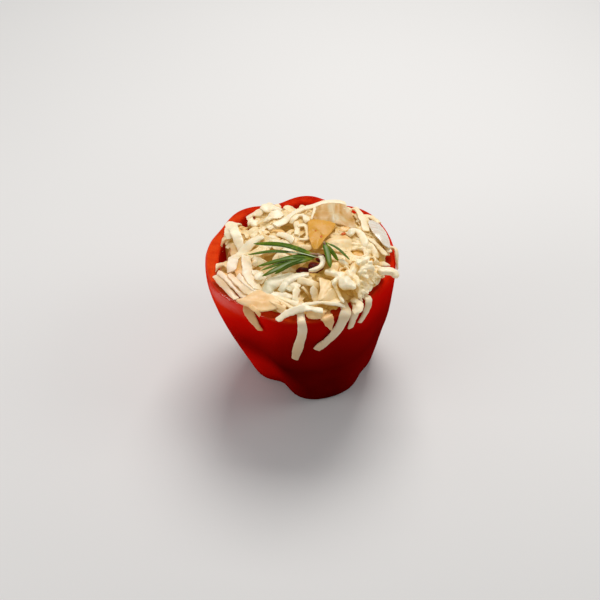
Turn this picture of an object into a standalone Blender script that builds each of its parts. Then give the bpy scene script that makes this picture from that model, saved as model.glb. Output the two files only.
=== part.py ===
# Stuffed bell pepper: a lobed red cup cut open at the top, filled and heaped with shredded
# cheese, with slices, curds and hanging shreds of cheese and two sprigs of rosemary.
# Metres, +Z up, rim up and feet down. Angles are in degrees round Z, 0 at +X, the front at 270.
import math
import random

import bmesh
import bpy
from mathutils import Vector
from mathutils.bvhtree import BVHTree

MM = 0.001
GAP = 0.35 * MM                 # air between neighbouring pieces
UP = Vector((0.0, 0.0, 1.0))

# pepper cup
RIM_HEIGHT = 66.1 * MM
WIDEST_RADIUS = 42.2 * MM       # before the lobes
WIDEST_HEIGHT = 61.8 * MM
FLOOR_RADIUS = 30.2 * MM        # where the wall's slope would meet the table
RIM_TUCK = 0.8 * MM             # how far the wall turns in again at the rim
SLOPE_POWER = 1.5
HEEL_SHARE = 0.912              # radius left at the table, as a share of the wall's
HEEL_HEIGHT = 17.0 * MM
WALL = 5.6 * MM                 # thickness of the flesh
FLOOR_TOP = 11.0 * MM           # the cavity's lowest point
DIMPLE_DEPTH = 6.0 * MM         # under the middle, between the feet
DIMPLE_SHARE = 0.8              # of the heel's radius; outside it the lobes stand flat
FOOT_LIFT = 4.0 * MM            # the furrows' height between the feet
OVAL_X = -0.026
OVAL_SKEW = 0.02
LEAN_X = -0.093                 # sideways lean of the axis for each unit of height
LEAN_Y = -0.052
SPOKES = 48
OUTER_HEIGHTS = (1.5, 5.0, 10.0, 17.0, 27.0, 38.0, 49.0, 58.0, 63.0, 65.4)
INNER_HEIGHTS = (53.0, 41.0, 29.0, 17.0)
HEAP_SPOKES = 64

# furrows between the lobes: angle, half width in degrees, depth at the rim and at the table
FURROWS = (
    (234.5, 18.0, 0.065, 0.205),
    (329.0, 15.0, 0.012, 0.067),
    (66.8, 14.0, 0.100, 0.080),
    (107.3, 15.7, 0.140, 0.080),
    (153.4, 14.0, 0.034, 0.080),
)

# heap of cheese: how far its edge reaches across the cut wall, from 0 at the inner side to 1
# at the outer side; below 0 it stops short of the wall and sinks
HEAP_REACH = (
    (0, 0.80), (25, 0.60), (48, 0.65), (68, 0.70), (90, -0.20), (112, 0.60), (138, -0.35),
    (158, 0.45), (181, -0.90), (210, 0.70), (240, 0.62), (270, 0.50), (300, 0.65), (335, 0.80),
)
HEAP_EDGE = 1.5 * MM            # the heap's edge above the rim
HEAP_DOME = 6.5 * MM            # its middle above the rim
HEAP_SINK = 7.0 * MM            # how far the edge drops where it stops short
HEAP_PEAK = (9.0 * MM, -5.0 * MM)
HEAP_RINGS = 13
RIDGES = 42
RIDGE_HEIGHT = 2.8 * MM
RIDGE_WIDTH = 2.7 * MM

SHRED_THICKNESS = 1.5 * MM
NEEDLE_WIDTH = 2.0 * MM
STEM_WIDTH = 2.0 * MM


def smooth(low, high, value):
    share = min(max((value - low) / (high - low), 0.0), 1.0)
    return share * share * (3.0 - 2.0 * share)


def turn_between(first, second):
    return (first - second + 180.0) % 360.0 - 180.0


# ---- the pepper's surface ----

def side_radius(height):
    climb = min(height / WIDEST_HEIGHT, 1.0)
    bulge = math.sin(math.pi / 2.0 * climb) ** SLOPE_POWER
    radius = FLOOR_RADIUS + (WIDEST_RADIUS - FLOOR_RADIUS) * bulge
    above = max(height - WIDEST_HEIGHT, 0.0) / (RIM_HEIGHT - WIDEST_HEIGHT)
    radius -= RIM_TUCK * min(above, 1.0) ** 2
    tuck = 1.0 - min(height / HEEL_HEIGHT, 1.0)
    return radius * (HEEL_SHARE + (1.0 - HEEL_SHARE) * math.sqrt(1.0 - tuck ** 2))


def lobing(degrees, height):
    double = 2.0 * math.radians(degrees)
    share = 1.0 + OVAL_X * math.cos(double) + OVAL_SKEW * math.sin(double)
    for angle, width, at_rim, at_table in FURROWS:
        depth = at_table + (at_rim - at_table) * height / RIM_HEIGHT
        share -= depth * math.exp(-(turn_between(degrees, angle) / width) ** 2)
    return share


def furrow(degrees):
    return max(math.exp(-(turn_between(degrees, row[0]) / row[1]) ** 2) for row in FURROWS)


def cup_point(degrees, height, radius):
    angle = math.radians(degrees)
    middle = height - RIM_HEIGHT / 2.0
    return Vector((
        radius * math.cos(angle) + LEAN_X * middle,
        radius * math.sin(angle) + LEAN_Y * middle,
        height,
    ))


def wall_point(degrees, height, out=0.0):
    level = min(max(height, 0.0), RIM_HEIGHT)
    point = cup_point(degrees, level, side_radius(level) * lobing(degrees, level) + out)
    point.z = height
    return point


def inner_radius(degrees, height):
    return (side_radius(height) - WALL) * lobing(degrees, height)


# ---- building blocks ----

def material(name, colour, roughness):
    made = bpy.data.materials.new(name)
    made.use_nodes = True
    shader = made.node_tree.nodes["Principled BSDF"]
    shader.inputs["Base Color"].default_value = (*colour, 1.0)
    shader.inputs["Roughness"].default_value = roughness
    shader.inputs["Metallic"].default_value = 0.0
    made.diffuse_color = (*colour, 1.0)
    return made


def new_object(name, form, finish, home):
    mesh = bpy.data.meshes.new(name)
    form.to_mesh(mesh)
    form.free()
    mesh.materials.append(finish)
    mesh.shade_smooth()
    made = bpy.data.objects.new(name, mesh)
    home.objects.link(made)
    return made


def turned_form(rings, spokes, place):
    # A closed form turned round the upright axis; ring number k at each angle goes to place(k, angle).
    form = bmesh.new()
    verts = [form.verts.new((1.0, 0.0, ring)) for ring in range(rings)]
    edges = [form.edges.new(pair) for pair in zip(verts, verts[1:])]
    bmesh.ops.spin(
        form, geom=verts + edges, axis=UP, cent=(0, 0, 0),
        steps=spokes, angle=math.tau, use_merge=True,
    )
    for vert in form.verts:
        degrees = math.degrees(math.atan2(vert.co.y, vert.co.x)) % 360.0
        vert.co = place(round(vert.co.z), degrees)
    bmesh.ops.remove_doubles(form, verts=form.verts, dist=0.01 * MM)
    bmesh.ops.recalc_face_normals(form, faces=form.faces)
    return form


def slab_form(length, width, thickness, corners, unevenness, phase, curl):
    # A flat slice with rounded edges: a squashed ball with an uneven outline, curled about Y.
    form = bmesh.new()
    bmesh.ops.create_uvsphere(form, u_segments=18, v_segments=6, radius=1.0)
    for vert in form.verts:
        spread = math.hypot(vert.co.x, vert.co.y)
        angle = math.atan2(vert.co.y, vert.co.x)
        wobble = 1.0 + unevenness * math.cos(corners * angle + phase)
        wobble += 0.5 * unevenness * math.cos((corners + 2) * angle - 2.0 * phase)
        reach = spread ** 0.6 * wobble
        across = reach * math.cos(angle)
        rise = math.copysign(abs(vert.co.z) ** 0.6, vert.co.z) * thickness / 2.0
        vert.co = Vector((
            across * length / 2.0,
            reach * math.sin(angle) * width / 2.0,
            rise + curl * across ** 2,
        ))
    return form


def spindle_form(base, tip, width, bow):
    # A needle, thickest in its middle and bowed upwards, from base to tip.
    form = bmesh.new()
    bmesh.ops.create_uvsphere(form, u_segments=6, v_segments=7, radius=1.0)
    along = tip - base
    side = along.cross(UP).normalized()
    for vert in form.verts:
        share = (vert.co.z + 1.0) / 2.0
        rise = bow * 4.0 * share * (1.0 - share)
        vert.co = (
            base + along * share + side * vert.co.x * width / 2.0
            + UP * (rise + vert.co.y * width / 3.0)
        )
    bmesh.ops.recalc_face_normals(form, faces=form.faces)
    return form


def curve_point(points, share):
    # A point of the smooth curve through the points, share 0 at the first and 1 at the last.
    place = share * (len(points) - 1)
    index = min(int(place), len(points) - 2)
    t = place - index
    before = points[max(index - 1, 0)]
    start = points[index]
    end = points[index + 1]
    after = points[min(index + 2, len(points) - 1)]
    return (
        start * 2.0 + (end - before) * t
        + (before * 2.0 - start * 5.0 + end * 4.0 - after) * t ** 2
        + (start * 3.0 - before - end * 3.0 + after) * t ** 3
    ) / 2.0


def strip_form(route, width, stations, facing, taper=0.0):
    # The lower face of a shred: a ribbon along the curve through the route, turned to facing(point).
    form = bmesh.new()
    bmesh.ops.create_grid(form, x_segments=stations, y_segments=2, size=1.0)
    for vert in form.verts:
        share = (vert.co.x + 1.0) / 2.0
        point = curve_point(route, share)
        ahead = curve_point(route, min(share + 0.02, 1.0))
        behind = curve_point(route, max(share - 0.02, 0.0))
        side = facing(point).cross(ahead - behind).normalized()
        narrowing = 1.0 - 0.35 * abs(2.0 * share - 1.0) ** 4
        narrowing *= 1.0 - taper * share ** 2
        vert.co = point + side * vert.co.y * narrowing * width / 2.0
    form.normal_update()
    middle = min(form.faces, key=lambda face: abs(face.calc_center_median().z - route[0].z))
    if middle.normal.dot(facing(middle.calc_center_median())) < 0.0:
        bmesh.ops.reverse_faces(form, faces=form.faces)
    return form


def thicken(target, thickness):
    solid = target.modifiers.new("thickness", "SOLIDIFY")
    solid.thickness = thickness
    solid.offset = 1.0
    return target


def shell_facing(point):
    # Up on the heap, and square to the pepper's wall below its rim.
    down = 1.0 - smooth(RIM_HEIGHT - 3.0 * MM, RIM_HEIGHT + 2.0 * MM, point.z)
    axis = cup_point(0.0, min(point.z, RIM_HEIGHT), 0.0)
    outward = Vector((point.x - axis.x, point.y - axis.y, 0.0)).normalized()
    return (outward * down + UP * (1.0 - down)).normalized()


def world_tree(objects):
    # One search tree of the objects' finished surfaces.
    bpy.context.view_layer.update()
    shapes = bpy.context.evaluated_depsgraph_get()
    verts = []
    faces = []
    for item in objects:
        mesh = item.evaluated_get(shapes).to_mesh()
        first = len(verts)
        verts += [item.matrix_world @ vert.co for vert in mesh.vertices]
        faces += [[first + index for index in face.vertices] for face in mesh.polygons]
    return BVHTree.FromPolygons(verts, faces)


def ground(tree, x, y):
    hit = tree.ray_cast(Vector((x, y, 1.0)), -UP)[0]
    return hit.z if hit else RIM_HEIGHT


def world_points(item):
    # The corners of an object's finished surface, and points along its edges.
    shapes = bpy.context.evaluated_depsgraph_get()
    mesh = item.evaluated_get(shapes).to_mesh()
    corners = [item.matrix_world @ vert.co for vert in mesh.vertices]
    points = list(corners)
    for edge in mesh.edges:
        start = corners[edge.vertices[0]]
        end = corners[edge.vertices[1]]
        points += [start.lerp(end, share) for share in (0.25, 0.5, 0.75)]
    return points


def settle(piece, supports):
    # Lowers a piece straight down until it is a gap above what lies under it.
    lower = world_tree(supports)
    upper = world_tree([piece])
    bpy.context.view_layer.update()
    room = []
    for point in world_points(piece):
        hit = lower.ray_cast(point + UP * 0.1, -UP)[0]
        if hit:
            room.append(point.z - hit.z)
    for item in supports:
        for point in world_points(item):
            hit = upper.ray_cast(point - UP * 0.1, UP)[0]
            if hit:
                room.append(hit.z - point.z)
    if room:
        piece.location.z -= min(room) - GAP
    bpy.context.view_layer.update()


# ---- the pepper ----

def cup_rings():
    under = [("under", share) for share in (0.0, 0.18, 0.4, 0.62, 0.8, 1.0)]
    outer = [("outer", height * MM) for height in OUTER_HEIGHTS]
    rim = [("rim", 0.10), ("rim", 0.90)]
    inner = [("inner", height * MM) for height in (65.2, 61.0, *INNER_HEIGHTS)]
    floor = [("floor", share) for share in (0.75, 0.4, 0.0)]
    return under + outer + rim + inner + floor


def cup_place(rings):
    def place(number, degrees):
        kind, value = rings[number]
        if kind == "under":
            radius = side_radius(0.0) * lobing(degrees, 0.0) * value
            dimple = 0.5 + 0.5 * math.cos(math.pi * min(value / DIMPLE_SHARE, 1.0))
            lift = FOOT_LIFT * smooth(0.1, 1.0, furrow(degrees)) * math.sin(math.pi * value)
            point = cup_point(degrees, 0.0, radius)
            point.z = DIMPLE_DEPTH * dimple + lift * (1.0 - dimple)
            return point
        if kind == "outer":
            return wall_point(degrees, value)
        if kind == "rim":
            outer = side_radius(RIM_HEIGHT) * lobing(degrees, RIM_HEIGHT)
            inner = inner_radius(degrees, RIM_HEIGHT)
            return cup_point(degrees, RIM_HEIGHT, outer + (inner - outer) * value)
        if kind == "inner":
            return cup_point(degrees, value, inner_radius(degrees, value))
        radius = inner_radius(degrees, HEEL_HEIGHT) * value
        return cup_point(degrees, FLOOR_TOP + 4.0 * MM * value ** 2, radius)
    return place


def build_pepper(home):
    rings = cup_rings()
    form = turned_form(len(rings), SPOKES, cup_place(rings))
    return new_object("pepper", form, material("pepper_skin", (0.42, 0.008, 0.006), 0.18), home)


# ---- the heap of shredded cheese ----

def reach_of_spokes():
    # The heap's reach at each spoke; it is exactly 0 where it changes from over the rim to inside.
    angles = [row[0] for row in HEAP_REACH] + [360]
    values = [row[1] for row in HEAP_REACH] + [HEAP_REACH[0][1]]
    reach = []
    for spoke in range(HEAP_SPOKES):
        degrees = spoke * 360.0 / HEAP_SPOKES
        part = max(index for index in range(len(angles)) if angles[index] <= degrees)
        share = smooth(angles[part], angles[part + 1], degrees)
        reach.append(values[part] + (values[part + 1] - values[part]) * share)
    for spoke in range(HEAP_SPOKES):
        pair = (spoke - 1, spoke)
        if reach[pair[0]] * reach[pair[1]] < 0.0:
            reach[min(pair, key=lambda index: abs(reach[index]))] = 0.0
    return reach


def shred_ridges():
    # The uneven top: short round ridges lying every way, as (x, y, direction, half length).
    chance = random.Random(7)
    rows = []
    for _ in range(RIDGES):
        away = math.sqrt(chance.random()) * 36.0 * MM
        around = chance.random() * math.tau
        rows.append((
            away * math.cos(around), away * math.sin(around),
            chance.random() * math.pi, chance.uniform(4.0, 10.0) * MM,
        ))
    return rows


def ridge_height(ridges, x, y):
    height = 0.0
    for middle_x, middle_y, turn, half in ridges:
        along = (x - middle_x) * math.cos(turn) + (y - middle_y) * math.sin(turn)
        across = (y - middle_y) * math.cos(turn) - (x - middle_x) * math.sin(turn)
        beyond = max(abs(along) - half, 0.0)
        distance = math.hypot(across, beyond)
        height = max(height, RIDGE_HEIGHT * math.exp(-(distance / RIDGE_WIDTH) ** 2))
    return height


def heap_edge(degrees, reach):
    inner = inner_radius(degrees, RIM_HEIGHT)
    outer = side_radius(RIM_HEIGHT) * lobing(degrees, RIM_HEIGHT)
    if reach > 0.0:
        return inner + (outer - inner) * reach, RIM_HEIGHT + HEAP_EDGE
    return inner - GAP + reach * 4.5 * MM, RIM_HEIGHT + HEAP_EDGE + reach * HEAP_SINK


def heap_place(rings):
    reach_at = reach_of_spokes()
    ridges = shred_ridges()

    def place(number, degrees):
        kind, value = rings[number]
        reach = reach_at[round(degrees * HEAP_SPOKES / 360.0) % HEAP_SPOKES]
        edge, edge_height = heap_edge(degrees, reach)
        filled = inner_radius(degrees, RIM_HEIGHT) - GAP
        if kind == "top":
            point = cup_point(degrees, RIM_HEIGHT, edge * value)
            shift = math.hypot(point.x - HEAP_PEAK[0], point.y - HEAP_PEAK[1]) / (40.0 * MM)
            dome = RIM_HEIGHT + HEAP_DOME * max(1.0 - shift ** 2, 0.0) ** 0.8
            rim_share = value ** 6
            rough = ridge_height(ridges, point.x, point.y) * (1.0 - value ** 12)
            point.z = max(dome, edge_height) * (1.0 - rim_share) + edge_height * rim_share + rough
            return point
        if kind == "under_edge":
            if reach > 0.0:
                return cup_point(degrees, RIM_HEIGHT, max(edge - 0.9 * MM, filled)) + UP * GAP
            low = RIM_HEIGHT + GAP + reach * 6.2 * MM
            return cup_point(degrees, low, edge + (filled - edge) * 0.4)
        if kind == "throat":
            low = RIM_HEIGHT + GAP - 0.4 * MM + min(reach, 0.0) * 11.0 * MM
            return cup_point(degrees, low, inner_radius(degrees, low) - GAP)
        if kind == "side":
            return cup_point(degrees, value, inner_radius(degrees, value) - GAP)
        radius = (inner_radius(degrees, HEEL_HEIGHT) - GAP) * value
        return cup_point(degrees, FLOOR_TOP + 2.0 * GAP + 4.0 * MM * value ** 2, radius)
    return place


def heap_rings():
    top = [("top", ring / HEAP_RINGS) for ring in range(HEAP_RINGS + 1)]
    under = [("under_edge", 0.0), ("throat", 0.0)]
    side = [("side", height * MM) for height in INNER_HEIGHTS]
    floor = [("floor", share) for share in (0.75, 0.4, 0.0)]
    return top + under + side + floor


def build_filling(home, finish):
    rings = heap_rings()
    form = turned_form(len(rings), HEAP_SPOKES, heap_place(rings))
    return new_object("filling", form, finish, home)


# ---- slices and curds on the heap ----

def build_slice(home, finish, supports, name, place, size, turn, tilt, outline, curl):
    form = slab_form(*[value * MM for value in size], *outline, curl * MM)
    piece = new_object(name, form, finish, home)
    piece.location = (place[0] * MM, place[1] * MM, RIM_HEIGHT + 30.0 * MM)
    piece.rotation_euler = [math.radians(value) for value in (tilt[0], tilt[1], turn)]
    settle(piece, supports)
    return piece


def join_bodies(target, others, cutters):
    for other in others:
        other.hide_render = True
        other.display_type = "WIRE"
        cutters.objects.link(other)
        for home in list(other.users_collection):
            if home is not cutters:
                home.objects.unlink(other)
        union = target.modifiers.new("join_" + other.name, "BOOLEAN")
        union.operation = "UNION"
        union.solver = "EXACT"
        union.object = other
    bpy.context.view_layer.update()
    shapes = bpy.context.evaluated_depsgraph_get()
    joined = bpy.data.meshes.new_from_object(target.evaluated_get(shapes))
    target.modifiers.clear()
    target.data = joined
    for other in others:
        bpy.data.objects.remove(other)


def build_curd(home, cutters, finish, supports):
    # A clump of soft curds grown together: each lump's middle and half sizes in millimetres.
    lumps = (
        ((0.0, 0.0, 0.0), (4.2, 3.4, 3.0)), ((4.4, 3.4, 0.3), (3.0, 3.6, 2.6)),
        ((-4.0, 3.4, 0.0), (3.6, 2.6, 2.4)), ((1.6, -4.6, -0.4), (3.4, 3.6, 2.8)),
        ((4.9, -2.6, -0.6), (2.8, 3.0, 2.5)),
    )
    pieces = []
    for number, (middle, half) in enumerate(lumps):
        form = bmesh.new()
        bmesh.ops.create_icosphere(form, subdivisions=2, radius=1.0)
        chance = random.Random(20 + number)
        for vert in form.verts:
            vert.co *= chance.uniform(0.88, 1.1)
        bmesh.ops.scale(form, verts=form.verts, vec=Vector(half) * MM)
        bmesh.ops.translate(form, verts=form.verts, vec=Vector(middle) * MM)
        pieces.append(new_object("curd" if number == 0 else f"curd_lump_{number}", form, finish, home))
    join_bodies(pieces[0], pieces[1:], cutters)
    pieces[0].location = (13.2 * MM, -27.5 * MM, RIM_HEIGHT + 40.0 * MM)
    settle(pieces[0], supports)
    return pieces[0]


# ---- shreds ----

def build_lying_shred(home, finish, supports, name, points, width, thickness):
    # A shred that lies on the heap: its curve bridges the hollows between the high points.
    tree = world_tree(supports)
    flat = [Vector((x * MM, y * MM, 0.0)) for x, y in points]
    stations = 3 * len(flat)
    line = [curve_point(flat, share / stations) for share in range(stations + 1)]
    reach = width * MM / 2.0
    around = [(0, 0), (reach, 0), (-reach, 0), (0, reach), (0, -reach)]
    floor = [max(ground(tree, p.x + x, p.y + y) for x, y in around) for p in line]
    heights = list(floor)
    for _ in range(60):
        middle = [(a + b) / 2.0 for a, b in zip(heights[:-2], heights[2:])]
        heights = [heights[0]] + [max(f, m) for f, m in zip(floor[1:-1], middle)] + [heights[-1]]
    route = [Vector((p.x, p.y, z + GAP)) for p, z in zip(line, heights)]
    form = strip_form(route, width * MM, stations, lambda point: UP)
    piece = thicken(new_object(name, form, finish, home), thickness * MM)
    settle(piece, supports)
    return piece


def build_hanging_shred(home, finish, tree, name, on_heap, crest, on_wall, width, taper):
    # A shred that comes off the heap, bends over the rim and lies down the wall. on_heap are
    # (angle, distance in from the wall), crest the angle where it crosses the rim, and on_wall
    # (angle, height).
    reach = width * MM / 2.0
    route = []
    for degrees, inside in on_heap:
        point = wall_point(degrees, RIM_HEIGHT, -inside * MM)
        around = [(0, 0), (reach, 0), (-reach, 0), (0, reach), (0, -reach)]
        point.z = max(ground(tree, point.x + x, point.y + y) for x, y in around) + 2.0 * GAP
        route.append(point)
    route.append(wall_point(crest, RIM_HEIGHT + HEAP_EDGE, 2.0 * GAP))
    for degrees, height in on_wall:
        route.append(wall_point(degrees, height * MM, 2.0 * GAP))
    form = strip_form(route, width * MM, 3 * len(route), shell_facing, taper)
    return thicken(new_object(name, form, finish, home), SHRED_THICKNESS)


# ---- rosemary ----

def build_sprig(home, cutters, finish, supports, name, stem, needles):
    # Needles grown from one stem: stem is its two ends, and each needle (x, y, z) of its base and
    # tip and its bow, all in millimetres.
    start = Vector(stem[0]) * MM
    end = Vector(stem[1]) * MM
    trunk = new_object(name, spindle_form(start, end, STEM_WIDTH, 0.0), finish, home)
    others = []
    for number, (base, tip, bow) in enumerate(needles):
        form = spindle_form(Vector(base) * MM, Vector(tip) * MM, NEEDLE_WIDTH, bow * MM)
        others.append(new_object(f"{name}_needle_{number}", form, finish, home))
    join_bodies(trunk, others, cutters)
    settle(trunk, supports)
    return trunk


# ---- the whole ----

def centre_on_base(anchor, objects):
    # The middle of the whole object's box stands over the origin.
    bpy.context.view_layer.update()
    shapes = bpy.context.evaluated_depsgraph_get()
    points = []
    for item in objects:
        mesh = item.evaluated_get(shapes).to_mesh()
        points += [item.matrix_world @ vert.co for vert in mesh.vertices]
    for axis in (0, 1):
        values = [point[axis] for point in points]
        anchor.location[axis] = -(min(values) + max(values)) / 2.0
    anchor.location.z = -min(point.z for point in points)


def main():
    for item in list(bpy.data.objects):
        bpy.data.objects.remove(item)
    home = bpy.data.collections.new("stuffed_pepper")
    cutters = bpy.data.collections.new("joined_shapes")
    bpy.context.scene.collection.children.link(home)
    bpy.context.scene.collection.children.link(cutters)

    white = material("cheese_white", (0.86, 0.78, 0.58), 0.5)
    cream = material("cheese_cream", (0.82, 0.70, 0.45), 0.5)
    yellow = material("cheese_yellow", (0.85, 0.56, 0.22), 0.42)
    peach = material("cheese_peach", (0.84, 0.60, 0.36), 0.45)
    clear = material("onion_white", (0.80, 0.76, 0.68), 0.25)
    green = material("rosemary_green", (0.05, 0.14, 0.02), 0.45)

    pepper = build_pepper(home)
    filling = build_filling(home, cream)
    parts = [pepper, filling]

    hanging = (
        ("shred_front_long", white, ((268, 12), (270, 6), (271, 1.2)), 271,
         ((271.2, 62.5), (268, 54), (264.5, 43.5)), 4.0, 0.0),
        ("shred_front_curved", white, ((298, 6), (297.8, 1.2)), 296,
         ((291.5, 62), (285.5, 56.5), (277.0, 50.5)), 4.2, 0.0),
        ("shred_front_short", white, ((305.5, 5), (305, 1.2)), 303.3,
         ((300, 63), (297.6, 58.5)), 2.7, 0.0),
        ("shred_front_right", white, ((313, 5), (314, 1.2)), 313,
         ((309.5, 63), (304, 59.0)), 2.4, 0.0),
        ("shred_front_left", peach, ((237, 2.6), (238, 1.0)), 239,
         ((242.5, 63), (247, 58.0)), 2.8, 0.0),
        ("wedge_front", peach, ((284.5, 5), (285, 1.2)), 285.5,
         ((286, 64), (286.5, 61.5)), 6.4, 0.85),
        ("shred_right_edge", white, ((7, 5), (4, 1.2)), 1,
         ((356, 65.0), (352.5, 61.5)), 2.6, 0.0),
    )
    tree = world_tree(parts)
    for name, finish, on_heap, crest, on_wall, width, taper in hanging:
        piece = build_hanging_shred(home, finish, tree, name, on_heap, crest, on_wall, width, taper)
        parts.append(piece)

    lying = (
        ("shred_back_right", white, ((19.5, 30), (23, 25), (26, 17), (26, 10)), 3.6, 1.6),
        ("shred_left_arc", white, ((-21, -1), (-27, -7), (-30.5, -16)), 4.0, 1.8),
        ("shred_left_inner", white, ((-26, -12), (-25, -20), (-21, -28)), 3.6, 1.8),
        ("shred_cross", white, ((-10.5, -42), (-4, -38), (3, -38), (8, -38.5)), 3.8, 1.6),
        ("shred_rim_left", peach, ((-39, -18), (-35, -26.5), (-28.5, -34)), 3.4, 1.6),
        ("shred_corner", white, ((-36.5, 12), (-32, 18), (-28, 19.5)), 5.0, 1.8),
        ("shred_right", white, ((30, -19), (34, -18), (38.6, -18)), 4.2, 2.2),
    )
    for name, finish, points, width, thickness in lying:
        parts.append(build_lying_shred(home, finish, parts, name, points, width, thickness))

    slices = (
        ("petal_back", cream, (12.3, 11.5), (18.5, 14.5, 2.0), 0, (9, 0), (3, 0.08, 1.2), -1.6),
        ("slice_yellow", yellow, (5.2, -0.8), (12.0, 11.0, 1.8), 20, (5, -4), (4, 0.10, 0.4), 0.4),
        ("onion_slice", clear, (31.0, 6.5), (9.0, 9.0, 2.0), 60, (-4, 12), (3, 0.08, 0.3), -0.8),
        ("slice_peach", peach, (-20.0, -37.5), (18.0, 8.0, 1.6), -22, (-4, 0), (5, 0.12, 0.9), -0.5),
        ("wedge_pale", cream, (5.0, -30.0), (11.0, 10.0, 1.8), 70, (-5, 6), (3, 0.15, 0.2), 0.4),
    )
    for name, finish, place, size, turn, tilt, outline, curl in slices:
        parts.append(build_slice(home, finish, parts, name, place, size, turn, tilt, outline, curl))
    parts.append(build_curd(home, cutters, white, parts))
    back = ((-11, 11.5), (-3, 18), (5, 25.3), (11, 28), (17, 27))
    parts.append(build_lying_shred(home, white, parts, "shred_back", back, 3.0, 1.6))

    sprigs = (
        ("rosemary_left", ((6.0, -13.5, 0.0), (-10.0, -14.5, 0.4)), (
            ((3.0, -13.6, 0.1), (-22.5, -7.2, 1.0), 3.0),
            ((2.5, -13.7, 0.1), (-24.5, -16.0, -0.5), 2.0),
            ((2.0, -13.8, 0.1), (-20.5, -22.0, -1.0), 1.2),
            ((1.5, -13.9, 0.1), (-17.5, -27.0, -1.0), 1.6),
            ((2.5, -13.9, 0.1), (-13.5, -23.0, 0.6), 2.0),
        )),
        ("rosemary_right", ((8.4, -8.5, 0.0), (9.4, -14.5, -0.9)), (
            ((8.8, -11.0, -0.4), (8.6, -23.0, -2.4), 0.8),
            ((8.8, -11.1, -0.4), (13.6, -20.0, -2.4), 0.8),
            ((8.8, -10.9, -0.4), (18.0, -20.5, -2.6), 0.8),
        )),
    )
    for name, stem, needles in sprigs:
        parts.append(build_sprig(home, cutters, green, parts, name, stem, needles))

    anchor = bpy.data.objects.new("stuffed_pepper_origin", None)
    home.objects.link(anchor)
    for item in parts:
        item.parent = anchor
    centre_on_base(anchor, parts)


main()
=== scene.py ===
# Looks of the stuffed bell pepper: a glossy lobed cup, a heap of grated cheese that spills over
# its rim, thin slices, soft curds and crumbs, and two sprigs of rosemary.
import math
import random

import bmesh
import bpy
import numpy as np
from mathutils import Matrix, Vector, noise


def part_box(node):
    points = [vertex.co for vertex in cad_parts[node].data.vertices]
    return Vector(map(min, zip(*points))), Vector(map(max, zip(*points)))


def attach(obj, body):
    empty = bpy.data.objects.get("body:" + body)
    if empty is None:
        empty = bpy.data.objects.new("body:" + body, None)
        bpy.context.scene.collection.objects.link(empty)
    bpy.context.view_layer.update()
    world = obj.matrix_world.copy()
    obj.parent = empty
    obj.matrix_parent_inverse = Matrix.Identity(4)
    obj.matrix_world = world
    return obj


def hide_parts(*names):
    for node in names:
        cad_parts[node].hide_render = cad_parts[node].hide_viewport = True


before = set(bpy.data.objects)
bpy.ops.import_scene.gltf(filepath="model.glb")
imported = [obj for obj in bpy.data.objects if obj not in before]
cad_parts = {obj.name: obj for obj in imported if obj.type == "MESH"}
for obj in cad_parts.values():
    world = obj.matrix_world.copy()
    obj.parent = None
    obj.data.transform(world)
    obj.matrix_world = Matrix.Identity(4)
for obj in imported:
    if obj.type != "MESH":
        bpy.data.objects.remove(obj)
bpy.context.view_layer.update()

home = bpy.context.scene.collection
mm = 0.001
upward = Vector((0.0, 0.0, 1.0))
noise.seed_set(1)   # without it the shreds' roughness would change from run to run
print("frame loaded:", len(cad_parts), "nodes")


# sizes in millimetres, angles in degrees round the cup's own axis: 0 at the right, 270 in front
cup = {
    "rim": 66.1,
    "widestRadius": 42.2,
    "widestHeight": 61.8,
    "floorRadius": 30.2,
    "rimTuck": 0.8,
    "slopePower": 1.5,
    "heelShare": 0.912,
    "heelHeight": 17.0,
    "wall": 5.6,
    "floorTop": 11.0,
    "dimple": 6.0,
    "dimpleShare": 0.8,
    "footLift": 4.0,
    "ovalX": -0.026,
    "ovalSkew": 0.02,
    "leanX": -0.093,
    "leanY": -0.052,
    # angle, half width, depth at the rim and at the table
    "furrows": (
        (234.5, 18.0, 0.065, 0.205),
        (329.0, 15.0, 0.012, 0.067),
        (66.8, 14.0, 0.100, 0.080),
        (107.3, 15.7, 0.140, 0.080),
        (153.4, 14.0, 0.034, 0.080),
    ),
    "spokes": 192,
    "wallTop": 65.0,       # where the skin's even part ends
    "insideTop": 64.0,     # and the inside wall's
    "rimDrop": 0.2,        # the finished rim lies this far below the solid's
    "inset": 0.1,          # and the skin this far inside it
    "skinEdge": 0.8,       # rounding of the cut's outer edge
    "fleshEdge": 1.6,      # and of its inner edge
    "swell": 0.3,          # slow unevenness of the wall
    "insideSwell": 0.4,
    "cutDish": 0.25,       # how far the cut sinks between its edges
    "cutRelief": 0.12,
    "floorBowl": 4.0,
    # height, turns and phase
    "rimWaves": ((0.16, 3.0, 40.0), (0.10, 11.0, 0.0)),
}


def smooth(low, high, value):
    share = min(max((value - low) / (high - low), 0.0), 1.0)
    return share * share * (3.0 - 2.0 * share)


def turnBetween(first, second):
    return (first - second + 180.0) % 360.0 - 180.0


def sideRadius(height):
    climb = min(height / cup["widestHeight"], 1.0)
    bulge = math.sin(math.pi / 2.0 * climb) ** cup["slopePower"]
    radius = cup["floorRadius"] + (cup["widestRadius"] - cup["floorRadius"]) * bulge
    above = max(height - cup["widestHeight"], 0.0) / (cup["rim"] - cup["widestHeight"])
    radius -= cup["rimTuck"] * min(above, 1.0) ** 2
    paintedShade = 1.0 - min(height / cup["heelHeight"], 1.0)
    return radius * (cup["heelShare"] + (1.0 - cup["heelShare"]) * math.sqrt(1.0 - paintedShade ** 2))


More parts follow.
